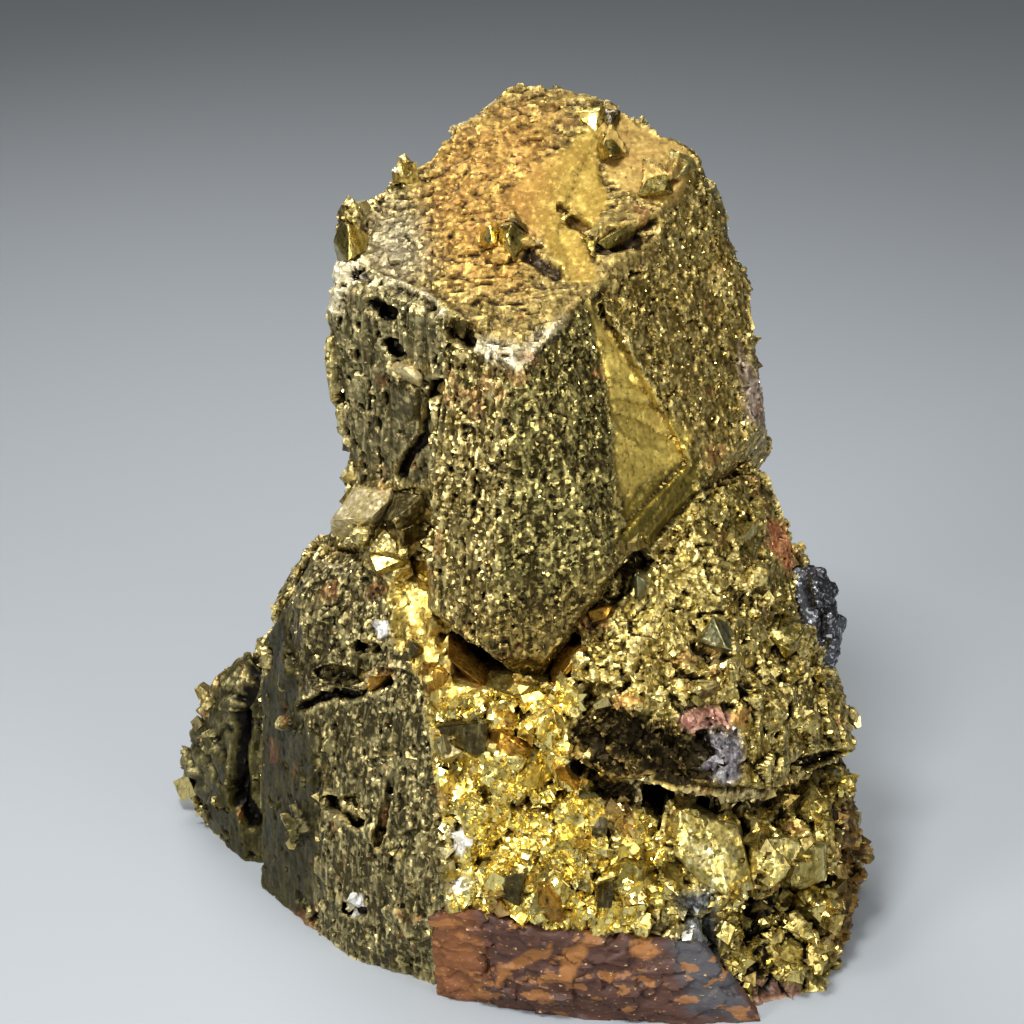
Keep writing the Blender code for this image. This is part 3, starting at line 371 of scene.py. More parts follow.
BLOCKS = {
    "lobe front": (0.02, 1.4, 3.0, 0.5, -0.15, 0.2),
    "upper bright slope": (0.08, 0.9, 2.4, 0.45, -0.25, 0.6),
    "bright slope": (0.8, 1.1, 3.4, 0.5, -0.2, 0.7),
    "right slope": (0.18, 0.9, 2.4, 0.5, -0.25, 0.4),
    "right foot": (0.45, 1.2, 3.6, 0.5, -0.22, 0.45),
    "lump": (0.02, 1.6, 3.0, 0.4, -0.2, 0.1),
    "back": (0.035, 1.4, 4.2, 0.5, -0.15, 0.3),
}
WEDGES = {
    "lobe front": (0.015, 1.4, 2.6, 0.8, -0.1, 0.3),
    "upper bright slope": (0.03, 1.2, 2.6, 0.8, -0.15, 0.7),
    "bright slope": (0.6, 1.3, 4.0, 0.9, -0.12, 0.8),
    "right slope": (0.04, 1.2, 2.6, 0.8, -0.15, 0.5),
    "right foot": (0.3, 1.4, 4.0, 0.9, -0.14, 0.55),
    "back": (0.02, 1.4, 3.2, 0.8, -0.15, 0.4),
}

# Each kind of small crystal: its piece's name, its table, its sides, how wide its tip is, and its height
SMALL_KINDS = (
    ("small_crystals", GRAINS, 3, 0.0, 0.8),
    ("blocky_crystals", BLOCKS, 4, 0.22, 0.8),
    ("wedge_crystals", WEDGES, 3, 0.06, 0.7),
)
MOST_GRAINS_IN_PIECE = 45000

# Lights: place and what they look at, size in millimetres, power in watts, and spread in degrees
LIGHTS = {
    "softbox": ((20, -200, 600), (20, -200, 0), 760, 1.35, 108),
    "lamp": ((-90, -170, 420), AIM, 90, 0.7, 120),
    "window": ((-420, -420, 260), AIM, 160, 0.9, 120),
    "fill": ((380, -440, 200), AIM, 260, 0.7, 120),
    "back light": ((-160, 430, 330), AIM, 260, 0.25, 70),
}
STUDIO_GREY = "#8F9399"
STUDIO_STRENGTH = 0.15
FLOOR_HALF_SIDE = 1500.0

# Where the cluster's surface is cut in parts, in millimetres, so that none of them is too heavy
WAIST = 49.0
UPPER_SPLIT = -3.5
LEFT_SPLIT = -8.0
RIGHT_SPLIT = 19.0

# Patches of the rock and a crack in it, in the photograph's pixels
ROCK_ORANGE = ((425, 930), (470, 905), (482, 950), (476, 1000), (420, 990))
ROCK_SLATE = ((664, 930), (740, 930), (740, 1020), (690, 1010))
ROCK_TAN = (
    ((492, 984), (500, 962), (528, 950), (552, 945), (548, 956), (510, 970), (500, 985)),
    ((564, 948), (590, 940), (586, 958), (572, 980), (558, 978)),
    ((628, 942), (650, 938), (662, 948), (648, 958), (632, 956)),
)
ROCK_CRACK = ((484, 956), (489, 966), (487, 972), (493, 982))


# Numbers that repeat for the same place and seed

def cell_random(cells, seed):
    """A number from 0 to 1 for each cell of a lattice."""
    x, y, z = (cells[:, axis].astype(np.uint32) for axis in range(3))
    mixed = x * np.uint32(73856093) ^ y * np.uint32(19349663) ^ z * np.uint32(83492791)
    mixed ^= np.uint32(seed * 2654435761 % 2**32)
    for shift, factor in ((15, 0x2C1B3C6D), (12, 0x297A2D39)):
        mixed ^= mixed >> np.uint32(shift)
        mixed *= np.uint32(factor)
    mixed ^= mixed >> np.uint32(15)
    return mixed / 2.0**32


def noise(points, size, seed):
    """Smooth values from -1 to 1, with bumps of about the given size."""
    scaled = points / np.asarray(size, float)
    base = np.floor(scaled).astype(np.int64)
    part = scaled - base
    part = part * part * (3 - 2 * part)
    total = np.zeros(len(points))
    for corner in itertools.product((0, 1), repeat=3):
        weight = np.ones(len(points))
        for axis, side in enumerate(corner):
            weight *= part[:, axis] if side else 1 - part[:, axis]
        total += weight * cell_random(base + corner, seed)
    return 2 * total - 1


def fractal(points, size, seed, octaves=3):
    """Noise with finer noise on it, each half as big as the last."""
    size = np.asarray(size, float)
    return sum(noise(points, size / 2**step, seed + step) / 2**step for step in range(octaves))


def nearest_cells(points, size, seed):
    """How near the nearest two scattered cell centres are, the way to the nearest one, and its cell."""
    scaled = points / np.asarray(size, float)
    base = np.floor(scaled).astype(np.int64)
    first = np.full(len(points), 9.0)
    second = np.full(len(points), 9.0)
    away = np.zeros((len(points), 3))
    label = np.zeros((len(points), 3), np.int64)
    for step in itertools.product((-1, 0, 1), repeat=3):
        cell = base + step
        jitter = np.stack([cell_random(cell, seed + axis) for axis in (1, 2, 3)], axis=1)
        toward = scaled - cell - jitter
        far = (toward**2).sum(axis=1)
        closer = far < first
        second = np.where(closer, first, np.minimum(second, far))
        first = np.where(closer, far, first)
        away[closer] = toward[closer]
        label[closer] = cell[closer]
    return np.sqrt(first), np.sqrt(second), away, label


def facets(points, size, slope, lift, seed):
    """Heights of flat facets about the given size, each tilted its own way and set higher or lower."""
    away, label = nearest_cells(points, size, seed)[2:]
    tilt = np.stack([cell_random(label, seed + axis) for axis in (11, 12, 13)], axis=1) * 2 - 1
    height = slope * (tilt * away).sum(axis=1) + lift * (cell_random(label, seed + 14) - 0.5)
    return height * float(np.min(size))


def ramp(values, low, high):
    """0 at the low value, 1 at the high one, and smooth between them."""
    part = np.clip((values - low) / (high - low), 0, 1)
    return part * part * (3 - 2 * part)


# Where things show in the photograph

def in_photo(points):
    """The pixels of the photograph at which the points show."""
    offset = points - EYE
    depth = offset @ LOOKING
    scale = CAMERA_DISTANCE / MM_PER_PIXEL
    across = PHOTO_SIDE / 2 + scale * offset[:, 0] / depth
    down = PHOTO_SIDE / 2 - scale * (offset @ UPWARD) / depth
    return np.stack([across, down], axis=1)


def ray_through(pixel):
    """The direction from the camera through a pixel of the photograph."""
    across = (pixel[0] - PHOTO_SIDE / 2) * MM_PER_PIXEL
    up = (PHOTO_SIDE / 2 - pixel[1]) * MM_PER_PIXEL
    ray = CAMERA_DISTANCE * LOOKING + across * np.array((1.0, 0.0, 0.0)) + up * UPWARD
    return ray / np.linalg.norm(ray)


def from_line(pixels, start, end):
    """How far each pixel is from a straight line."""
    along = end - start
    part = np.clip((pixels - start) @ along / (along @ along), 0, 1)
    return np.linalg.norm(pixels - start - part[:, None] * along, axis=1)


def from_path(pixels, path):
    """How far each pixel is from a line of several straight parts."""
    path = np.array(path, float)
    return np.min([from_line(pixels, start, end) for start, end in zip(path, path[1:])], axis=0)


def inside_by(pixels, outline):
    """How far inside an outline each pixel is, and below 0 outside."""
    outline = np.array(outline, float)
    inside = np.zeros(len(pixels), bool)
    for start, end in zip(outline, np.roll(outline, -1, axis=0)):
        spans = (start[1] > pixels[:, 1]) != (end[1] > pixels[:, 1])
        rise = end[1] - start[1] or 1e-9
        crossing = start[0] + (pixels[:, 1] - start[1]) / rise * (end[0] - start[0])
        inside ^= spans & (pixels[:, 0] < crossing)
    nearest = from_path(pixels, (*outline, outline[0]))
    return np.where(inside, nearest, -nearest)


def facing_camera(normals):
    """1 where the surface looks towards the camera and 0 where it looks away."""
    return ramp(-(normals @ LOOKING), -0.12, 0.12)


def zone_weights(points, normals):
    """How much each point belongs to each zone. The zone named back is all that the photograph hides."""
    wobble = np.stack([fractal(points, 5.0, SEED + 90 + axis, 2) for axis in (0, 10)], axis=1)
    pixels = in_photo(points) + wobble * ZONE_WOBBLE
    seen = facing_camera(normals)
    weights = {}
    left = np.ones(len(points))
    for name, outline in ZONES.items():
        weight = left * seen * ramp(inside_by(pixels, outline), -ZONE_EDGE, ZONE_EDGE)
        weights[name] = weight
        left = left - weight
    weights["back"] = left
    return weights


# The relief of each zone: heights in millimetres

def coarse_relief(points):
    """Unevenness that all the faces share."""
    return 0.3 * fractal(points, 9.0, SEED, 3)


def top_relief(points):
    """Scales that run level across the slope, with patches of small pits between them."""
    scales = 0.6 * facets(points, (2.8, 1.5, 1.1), 0.5, 0.35, SEED + 20)
    scales += 0.1 * fractal(points, 0.9, SEED + 16, 2)
    patches = ramp(noise(points, 7.0, SEED + 18), -0.3, 0.4)
    pits = ramp(fractal(points, (1.9, 0.9, 0.7), SEED + 24), 0.25, 0.8) * patches
    return scales + 0.25 * facets(points, (4.0, 3.0, 2.0), 0.3, 0.4, SEED + 28) - 0.45 * pits


def upright_relief(points):
    """Ridges and grooves that run up the face, with broken steps across them."""
    ridges = 0.22 * noise(points, (0.8, 0.8, 11.0), SEED + 30)
    ridges += 0.25 * noise(points, (2.1, 2.1, 16.0), SEED + 31)
    steps = facets(points, (1.5, 1.5, 3.0), 0.45, 0.4, SEED + 32)
    pits = ramp(fractal(points, (1.2, 1.2, 1.9), SEED + 36), 0.45, 0.8)
    return ridges + 0.5 * steps - 0.7 * pits


def crust_relief(points):
    """A fairly flat crust of very small crystals, with dark pits between some."""
    pits = ramp(fractal(points, 1.0, SEED + 38), 0.5, 0.8)
    grains = 0.22 * facets(points, 0.9, 0.7, 0.4, SEED + 40)
    return grains + 0.2 * facets(points, 3.1, 0.4, 0.4, SEED + 44) - 0.3 * pits


def streaks(points, lean, width, length, seed):
    """Noise drawn out along a line that leans to the side as it runs down the photograph."""
    pixels = in_photo(points)
    along = np.array((lean, 1.0)) / math.hypot(lean, 1.0)
    across = np.array((along[1], -along[0]))
    flat = np.stack([pixels @ across, pixels @ along * width / length, np.zeros(len(pixels))], axis=1)
    return noise(flat, width, seed)


def smooth_relief(points):
    """A smooth face with shallow waves and low growth steps across it."""
    steps = 0.07 * streaks(points, 4.0, 9.0, 60.0, SEED + 50)
    return 0.05 * noise(points, 2.5, SEED + 51) + steps


def striated_relief(points):
    """Fine ridges that run side by side down to the left."""
    ridges = 0.16 * streaks(points, -0.77, 4.0, 70.0, SEED + 52)
    return ridges + 0.08 * streaks(points, -0.77, 2.0, 30.0, SEED + 53)


def stripe_relief(points):
    """A smooth band of feathery streaks, with thin grooves between them."""
    broad = streaks(points, -0.35, 18.0, 110.0, SEED + 54)
    grooves = ramp(-np.abs(broad), -0.25, 0.0)
    return 0.14 * broad - 0.2 * grooves + 0.05 * streaks(points, 0.1, 7.0, 60.0, SEED + 55)


def lobe_side_relief(points):
    """A dark flat face with tiny pits and faint upright grooves."""
    grooves = 0.1 * noise(points, (1.0, 1.0, 9.0), SEED + 60)
    pits = ramp(fractal(points, 1.2, SEED + 61), 0.45, 0.8)
    return grooves + 0.12 * facets(points, 1.6, 0.5, 0.5, SEED + 64) - 0.4 * pits


def brushed_relief(points):
    """A slope of fine streaks that run down to the right, with low blocks."""
    brushed = 0.12 * streaks(points, 0.9, 5.0, 40.0, SEED + 62)
    return brushed + 0.16 * facets(points, 3.0, 0.3, 0.3, SEED + 64)


def lobe_front_relief(points):
    """The same grooves and pits as on the upright faces, but lower."""
    return 0.55 * upright_relief(points)


def hackly_relief(points):
    """Broken flat points that stand on end, close together."""
    coarse = facets(points, (4.4, 4.4, 6.0), 0.8, 0.45, SEED + 70)
    return 0.7 * coarse + 0.15 * facets(points, (1.7, 1.7, 2.4), 0.8, 0.25, SEED + 74)


def slope_relief(points):
    """Fine grains and low blocks on a slope."""
    coarse = 0.6 * facets(points, 3.4, 0.5, 0.3, SEED + 80)
    return coarse + 0.3 * facets(points, 1.1, 0.7, 0.35, SEED + 84)


def back_relief(points):
    """Big crystal faces grown together, some ridged and some with a crust of fine grains."""
    ridged = ramp(fractal(points, 17.0, SEED + 120, 2), -0.15, 0.15)
    fine = ridged * upright_relief(points) + (1 - ridged) * slope_relief(points)
    return 0.8 * facets(points, 8.0, 0.3, 0.16, SEED + 78) + 0.7 * fine


def lump_relief(points):
    """Rounded lumps with clefts between them."""
    first, second = nearest_cells(points, 5.5, SEED + 87)[:2]
    clefts = ramp(second - first, 0.0, 0.35)
    return clefts - 1.0 + 0.4 * noise(points, 2.0, SEED + 88) + 0.12 * noise(points, 0.8, SEED + 89)


def block_relief(points):
    """Bigger flat crystal faces with fine ridges."""
    coarse = facets(points, 4.2, 0.45, 0.3, SEED + 100)
    ridges = 0.14 * noise(points, (0.7, 0.7, 6.0), SEED + 104)
    return coarse + ridges + 0.2 * facets(points, 1.1, 0.8, 0.3, SEED + 105)


RELIEF = {
    "smooth face": smooth_relief,
    "striated face": striated_relief,
    "stripe": stripe_relief,
    "top": top_relief,
    "top right": smooth_relief,
    "left face": upright_relief,
    "bright edge": upright_relief,
    "middle face": crust_relief,
    "right face": crust_relief,
    "lobe side": lobe_side_relief,
    "lobe front": lobe_front_relief,
    "upper bright slope": brushed_relief,
    "bright slope": hackly_relief,
    "right slope": slope_relief,
    "right foot": block_relief,
    "lump": lump_relief,
    "back": back_relief,
}

# From solids to fine surfaces

def mesh_arrays(mesh):
    """A mesh's corners in millimetres, its edges and its corners' normals."""
    corners = np.empty(len(mesh.vertices) * 3)
    mesh.vertices.foreach_get("co", corners)
    edges = np.empty(len(mesh.edges) * 2, np.int64)
    mesh.edges.foreach_get("vertices", edges)
    normals = np.empty(len(mesh.vertices) * 3)
    mesh.vertex_normals.foreach_get("vector", normals)
    return corners.reshape(-1, 3) / MM, edges.reshape(-1, 2), normals.reshape(-1, 3)


def set_corners(mesh, points):
    mesh.vertices.foreach_set("co", (points * MM).ravel())
    mesh.update()


def averaged(values, edges, rounds):
    """Each corner's value averaged with its neighbours', a number of times."""
    count = len(values)
    ends = edges.ravel()
    others = edges[:, ::-1].ravel()
    degree = np.bincount(ends, minlength=count) + 1.0
    for _ in range(rounds):
        columns = [np.bincount(ends, column[others], count) + column for column in values.T]
        values = (np.stack(columns) / degree).T
    return values


def fine_copy(node, voxel):
    """A copy of a solid with a fine even mesh on the same surface."""
    shape = bmesh.new()
    shape.from_mesh(node.data)
    bmesh.ops.remove_doubles(shape, verts=shape.verts[:], dist=SAME_CORNER * MM)
    tree = BVHTree.FromBMesh(shape)
    mesh = bpy.data.meshes.new(node.name + "_fine")
    shape.to_mesh(mesh)
    shape.free()
    item = bpy.data.objects.new(mesh.name, mesh)
    bpy.context.collection.objects.link(item)
    remesh = item.modifiers.new("remesh", "REMESH")
    remesh.mode = "VOXEL"
    remesh.voxel_size = voxel * MM
    seen = item.evaluated_get(bpy.context.evaluated_depsgraph_get())
    fine = bpy.data.meshes.new_from_object(seen)
    bpy.data.objects.remove(item, do_unlink=True)
    points = mesh_arrays(fine)[0]
    for number, point in enumerate(points):
        points[number] = tree.find_nearest(Vector(point) * MM)[0] / MM
    set_corners(fine, points)
    return fine


def floor_free(points, normals):
    """0 on the flat underside and 1 above it."""
    underside = (points[:, 2] < FLOOR_BAND) & (normals[:, 2] < -0.7)
    return np.where(underside, 0.0, 1.0)


def raise_relief(mesh, heights_for):
    """Push a fine mesh in and out by heights worked out from its points, and say how hollow each is."""
    points, edges, normals = mesh_arrays(mesh)
    normals = averaged(normals, edges, 3)
    normals /= np.linalg.norm(normals, axis=1)[:, None] + 1e-9
    heights = heights_for(points, normals) * floor_free(points, normals)
    moved = points + normals * heights[:, None]
    moved[:, 2] = np.maximum(moved[:, 2], 0.0)
    set_corners(mesh, moved)
    hollow = ((averaged(moved, edges, 5) - moved) * normals).sum(axis=1)
    return points, normals, hollow


def put_values(mesh, name, values):
    mesh.attributes.new(name, "FLOAT", "POINT").data.foreach_set("value", values.astype(np.float32))


def put_colours(mesh, name, colours):
    whole = np.ones((len(colours), 4), np.float32)
    whole[:, :3] = colours
    mesh.attributes.new(name, "FLOAT_COLOR", "POINT").data.foreach_set("color", whole.ravel())


def blend_of(weights, table, column):
    """A value for each point, from a table of values for each zone."""
    return sum(weights[name] * entry[column] for name, entry in table.items())


def dent_heights(points, normals):
    """How far the pits and crevices go in."""
    wobble = np.stack([noise(points, 1.4, SEED + 110 + axis) for axis in (0, 1)], axis=1)
    pixels = in_photo(points) + 2.0 * wobble
    total = np.zeros(len(points))
    for depth, half_width, path in DENTS.values():
        near = ramp(half_width * 1.5 - from_path(pixels, path), 0.0, half_width)
        total -= depth * near
    return total * facing_camera(normals)


def cluster_heights(points, normals):
    weights = zone_weights(points, normals)
    calm = sum(weights[name] for name in CALM_ZONES)
    heights = coarse_relief(points) * (1 - 0.7 * calm)
    for name, relief in RELIEF.items():
        part = weights[name] > 0.01
        heights[part] += weights[name][part] * relief(points[part])
    heights = np.clip(heights, *RELIEF_LIMITS) + dent_heights(points, normals)
    return np.maximum(heights, DEEPEST_DENT)


def linear(colour):
    """A hex colour as linear red, green, blue and alpha."""
    channels = [int(colour[start:start + 2], 16) / 255 for start in (1, 3, 5)]
    return (*[c / 12.92 if c <= 0.04045 else ((c + 0.055) / 1.055) ** 2.4 for c in channels], 1.0)


def finish_of(names_and_weights):
    """The finish of each point, from how much it belongs to each finish."""
    finish = {"ground": 0.0, "bright": 0.0, "dark": 0.0, "metal": 0.0, "rough": 0.0, "grainy": 0.0}
    for name, weight in names_and_weights:
        *colours, metal, rough, grainy = FINISHES[name]
        for key, colour in zip(("ground", "bright", "dark"), colours):
            finish[key] = finish[key] + weight[:, None] * np.array(linear(colour)[:3])
        finish["metal"] = finish["metal"] + weight * metal
        finish["rough"] = finish["rough"] + weight * rough
        finish["grainy"] = finish["grainy"] + weight * grainy
    return finish


def stain(finish, amount, ground, bright, metal):
    """Lay a colour over a finish: a stain, and also painted shade and painted highlights."""
    for key, colour in (("ground", ground), ("bright", bright)):
        finish[key] += amount[:, None] * (np.array(linear(colour)[:3]) - finish[key])
    finish["metal"] += amount * (metal - finish["metal"])
    finish["rough"] += amount * (0.5 - finish["rough"])


def cluster_finish(points, normals, hollow):
    """The finish of the cluster's surface at each point."""
    finish = finish_of(zone_weights(points, normals).items())
    wobble = np.stack([fractal(points, 2.2, SEED + 115 + 5 * axis, 2) for axis in (0, 1)], axis=1)
    pixels = in_photo(points) + 4.0 * wobble
    seen = facing_camera(normals)
    # Real stains and patches, and painted shade and painted highlights, laid over the finish
    for outline, soft, ground, bright, metal in STAINS_AND_PAINTED_LIGHT.values():
        stain(finish, 0.9 * seen * ramp(inside_by(pixels, outline), -soft, soft), ground, bright, metal)
    for path in (CREAM_RIM, CREAM_RIM_LOW):
        stain(finish, seen * ramp(-from_path(pixels, path), -RIM_WIDTH, -0.3 * RIM_WIDTH), *CREAM)
    greyer = ramp(fractal(points, 13.0, SEED + 155), 0.1, 0.5) * (1 - seen)
    stain(finish, 0.75 * greyer, *GREYER)
    golder = ramp(fractal(points, 12.0, SEED + 160), 0.15, 0.5) * (1 - seen)
    stain(finish, 0.75 * golder, *GOLDER)
    rust = ramp(fractal(points, 3.5, SEED + 150), 0.7, 0.95)
    stain(finish, 0.5 * rust, *RUST)
    # Painted shade: the pits and crevices are made darker, the more the deeper they go
    finish["hollow"] = hollow - DENT_SHADE * dent_heights(points, normals)
    return finish


def put_finish(mesh, finish):
    for name, values in finish.items():
        put = put_colours if values.ndim == 2 else put_values
        put(mesh, name, values)


def cut_mesh(mesh, place, direction):
    """The part of a closed mesh behind a plane, closed again, as a new mesh."""
    shape = bmesh.new()
    shape.from_mesh(mesh)
    everything = shape.verts[:] + shape.edges[:] + shape.faces[:]
    cut = bmesh.ops.bisect_plane(
        shape, geom=everything, plane_co=Vector(place) * MM, plane_no=direction, clear_outer=True
    )
    rim = [part for part in cut["geom_cut"] if isinstance(part, bmesh.types.BMEdge)]
    made = bmesh.ops.holes_fill(shape, edges=rim, sides=0)
    bmesh.ops.triangulate(shape, faces=made["faces"], ngon_method="EAR_CLIP")
    part = bpy.data.meshes.new(mesh.name)
    shape.to_mesh(part)
    shape.free()
    return part


def cut_in_two(mesh, place, direction):
    """Both parts of a mesh, cut by a plane."""
    direction = Vector(direction)
    return cut_mesh(mesh, place, direction), cut_mesh(mesh, place, -direction)


def divided(mesh):
    """The cluster's surface in parts: two of the big crystal, and three of the foot."""
    foot, upper = cut_in_two(mesh, (0, 0, WAIST), (0, 0, 1))
    upper_left, upper_right = cut_in_two(upper, (UPPER_SPLIT, 0, 0), (1, 0, 0))
    left, rest = cut_in_two(foot, (LEFT_SPLIT, 0, 0), (1, 0, 0))
    middle, right = cut_in_two(rest, (RIGHT_SPLIT, 0, 0), (1, 0, 0))
    return {
        "big_crystal_left": upper_left,
        "big_crystal_right": upper_right,
        "left_foot": left,
        "middle_foot": middle,
        "right_foot": right,
    }


def add_piece(name, mesh, material, replaced=None):
    """Show a mesh as a piece of the specimen."""
    mesh.name = name
    mesh.materials.clear()
    mesh.materials.append(material)
    item = bpy.data.objects.new(name, mesh)
    bpy.context.collection.objects.link(item)
    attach(item, "root")
    if replaced:
        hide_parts(replaced)
    return item


def shade(mesh, sharp_from):
    """Shade a mesh smooth, with sharp edges where it turns by more than an angle in degrees."""
    mesh.polygons.foreach_set("use_smooth", np.ones(len(mesh.polygons), bool))
    mesh.set_sharp_from_angle(angle=math.radians(sharp_from))


# Crystals that the photograph shows

def surface_depth(tree, pixel):
    """How far from the camera the surface is at a pixel, or nothing where the pixel misses it."""
    return tree.ray_cast(Vector(EYE) * MM, Vector(ray_through(pixel)))[3]


def held_near(depth, middle):
    """A distance from the camera in millimetres, kept near that of the crystal's middle."""
    if depth is None:
        return middle
    return np.clip(depth / MM, middle - DEEPEST_CORNER, middle + DEEPEST_CORNER)


def crystal_corners(tree, outline, proud, peaks):
    """The corners of a crystal that is sunk in the surface and shows a given outline to the camera."""
    depths = [surface_depth(tree, pixel) for pixel in outline]
    middle = float(np.median([depth for depth in depths if depth])) / MM
    centre = np.mean(outline, axis=0)
    corners = []
    for pixel, depth in zip(outline, depths):
        near = held_near(depth, middle)
        corners.append(EYE + ray_through(pixel) * (near - proud))
        inner = centre + 0.8 * (np.array(pixel) - centre)
        corners.append(EYE + ray_through(inner) * (max(near, middle) + CRYSTAL_SINK))
    for x, y, height in peaks:
        near = held_near(surface_depth(tree, (x, y)), middle)
        corners.append(EYE + ray_through((x, y)) * (near - height))
    ground, outward = tree.find_nearest(Vector(np.mean(corners, axis=0)) * MM)[:2]
    corners.append(np.array(ground / MM - outward * ROOT_DEPTH))
    return corners


def crystal_mesh(corners):
    """A crystal with flat faces round the given corners, with slightly blunt edges."""
    shape = bmesh.new()
    made = [shape.verts.new(Vector(corner) * MM) for corner in corners]
    hull = bmesh.ops.convex_hull(shape, input=made)
    inner = hull["geom_interior"] + hull["geom_unused"]
    spare = {part for part in inner if isinstance(part, bmesh.types.BMVert)}
    bmesh.ops.delete(shape, geom=list(spare), context="VERTS")
    bmesh.ops.bevel(
        shape,
        geom=shape.edges[:],
        offset=CRYSTAL_BEVEL * MM,
        segments=1,
        profile=0.5,
        affect="EDGES",
        material=-1,
    )
    bmesh.ops.triangulate(shape, faces=shape.faces[:])
    long_edges = [edge for edge in shape.edges if edge.calc_length() > LONG_EDGE * MM]
    bmesh.ops.subdivide_edges(shape, edges=long_edges, cuts=3, use_grid_fill=True)
    bmesh.ops.triangulate(shape, faces=shape.faces[:])
    bmesh.ops.recalc_face_normals(shape, faces=shape.faces[:])
    mesh = bpy.data.meshes.new("crystal")
    shape.to_mesh(mesh)
    shape.free()
    points, _, normals = mesh_arrays(mesh)
    ridges = 0.1 * noise(points, (0.6, 0.6, 5.0), SEED + 190) + 0.06 * noise(points, 0.9, SEED + 191)
    points += normals * ridges[:, None]
    points[:, 2] = np.maximum(points[:, 2], LOWEST_CORNER)
    set_corners(mesh, points)
    return mesh


def build_shown_crystals(surface, material):
    """The crystals of the table, in one piece."""
    tree = BVHTree.FromObject(surface, bpy.context.evaluated_depsgraph_get())
    joined = bmesh.new()
    finishes = []
    for finish, outline, proud, peaks in CRYSTALS.values():
        mesh = crystal_mesh(crystal_corners(tree, outline, proud, peaks))
        joined.from_mesh(mesh)
        finishes += [finish] * len(mesh.vertices)
        bpy.data.meshes.remove(mesh)
    whole = bpy.data.meshes.new("shown_crystals")
    joined.to_mesh(whole)
    joined.free()
    finishes = np.array(finishes)
    finish = finish_of([(name, (finishes == name).astype(float)) for name in FINISHES])
    finish["hollow"] = np.full(len(finishes), -0.02)
    put_finish(whole, finish)
    shade(whole, SHARP_FROM)
    return add_piece("shown_crystals", whole, material)


# Small crystals, as joined meshes

def crystal_template(sides, tip, height):
    """A small crystal with flat sides and its middle on the origin."""
    shape = bmesh.new()
    bmesh.ops.create_cone(
        shape, cap_ends=True, cap_tris=False, segments=sides, radius1=0.5, radius2=tip, depth=height
    )
    bmesh.ops.remove_doubles(shape, verts=shape.verts[:], dist=SAME_CORNER)
    bmesh.ops.triangulate(shape, faces=shape.faces[:])
    corners = np.array([corner.co[:] for corner in shape.verts])
    faces = np.array([[corner.index for corner in face.verts] for face in shape.faces])
    shape.free()
    return corners, faces


def frames_about(directions, dice):
    """A turned frame for each direction, whose third column is the direction."""
    aside = dice.normal(size=directions.shape)
    one = np.cross(aside, directions)
    one /= np.linalg.norm(one, axis=1)[:, None] + 1e-9
    return np.stack([one, np.cross(directions, one), directions], axis=2)


def clear_of_shown(points, normals):
    """0 where a crystal of the table stands, so that no small ones grow there, and 1 elsewhere."""
    pixels = in_photo(points)
    shown = np.max([inside_by(pixels, entry[1]) for entry in CRYSTALS.values()], axis=0)
    return 1 - facing_camera(normals) * ramp(shown, -2.0, 0.0)


def spread_points(mesh, per_area, dice):
    """Random points on a mesh, given how many to a square millimetre at each corner."""
    mesh.calc_loop_triangles()
    corners = np.empty(len(mesh.loop_triangles) * 3, np.int64)
    mesh.loop_triangles.foreach_get("vertices", corners)
    corners = corners.reshape(-1, 3)
    areas = np.empty(len(mesh.loop_triangles))
    mesh.loop_triangles.foreach_get("area", areas)
    wanted = areas / MM**2 * per_area[corners].mean(axis=1)
    counts = dice.poisson(wanted)
    chosen = np.repeat(np.arange(len(areas)), counts)
    u, v = dice.random((2, len(chosen)))
    over = u + v > 1
    u[over], v[over] = 1 - u[over], 1 - v[over]
    return corners[chosen], np.stack([1 - u - v, u, v], axis=1)


def joined_crystals(places, frames, sizes, template):
    """One mesh of many copies of a small crystal."""
    corners, faces = template
    spots = np.einsum("nij,nkj->nki", frames, sizes[:, None, :] * corners[None]) + places[:, None, :]
    count, each = spots.shape[:2]
    loops = (faces[None] + (np.arange(count) * each)[:, None, None]).ravel()
    mesh = bpy.data.meshes.new("crystals")
    mesh.vertices.add(count * each)
    mesh.vertices.foreach_set("co", (spots.reshape(-1, 3) * MM).ravel())
    mesh.loops.add(len(loops))
    mesh.loops.foreach_set("vertex_index", loops)
    mesh.polygons.add(len(loops) // 3)
    mesh.polygons.foreach_set("loop_start", np.arange(0, len(loops), 3))
    mesh.update(calc_edges=True)
    mesh.shade_flat()
    return mesh


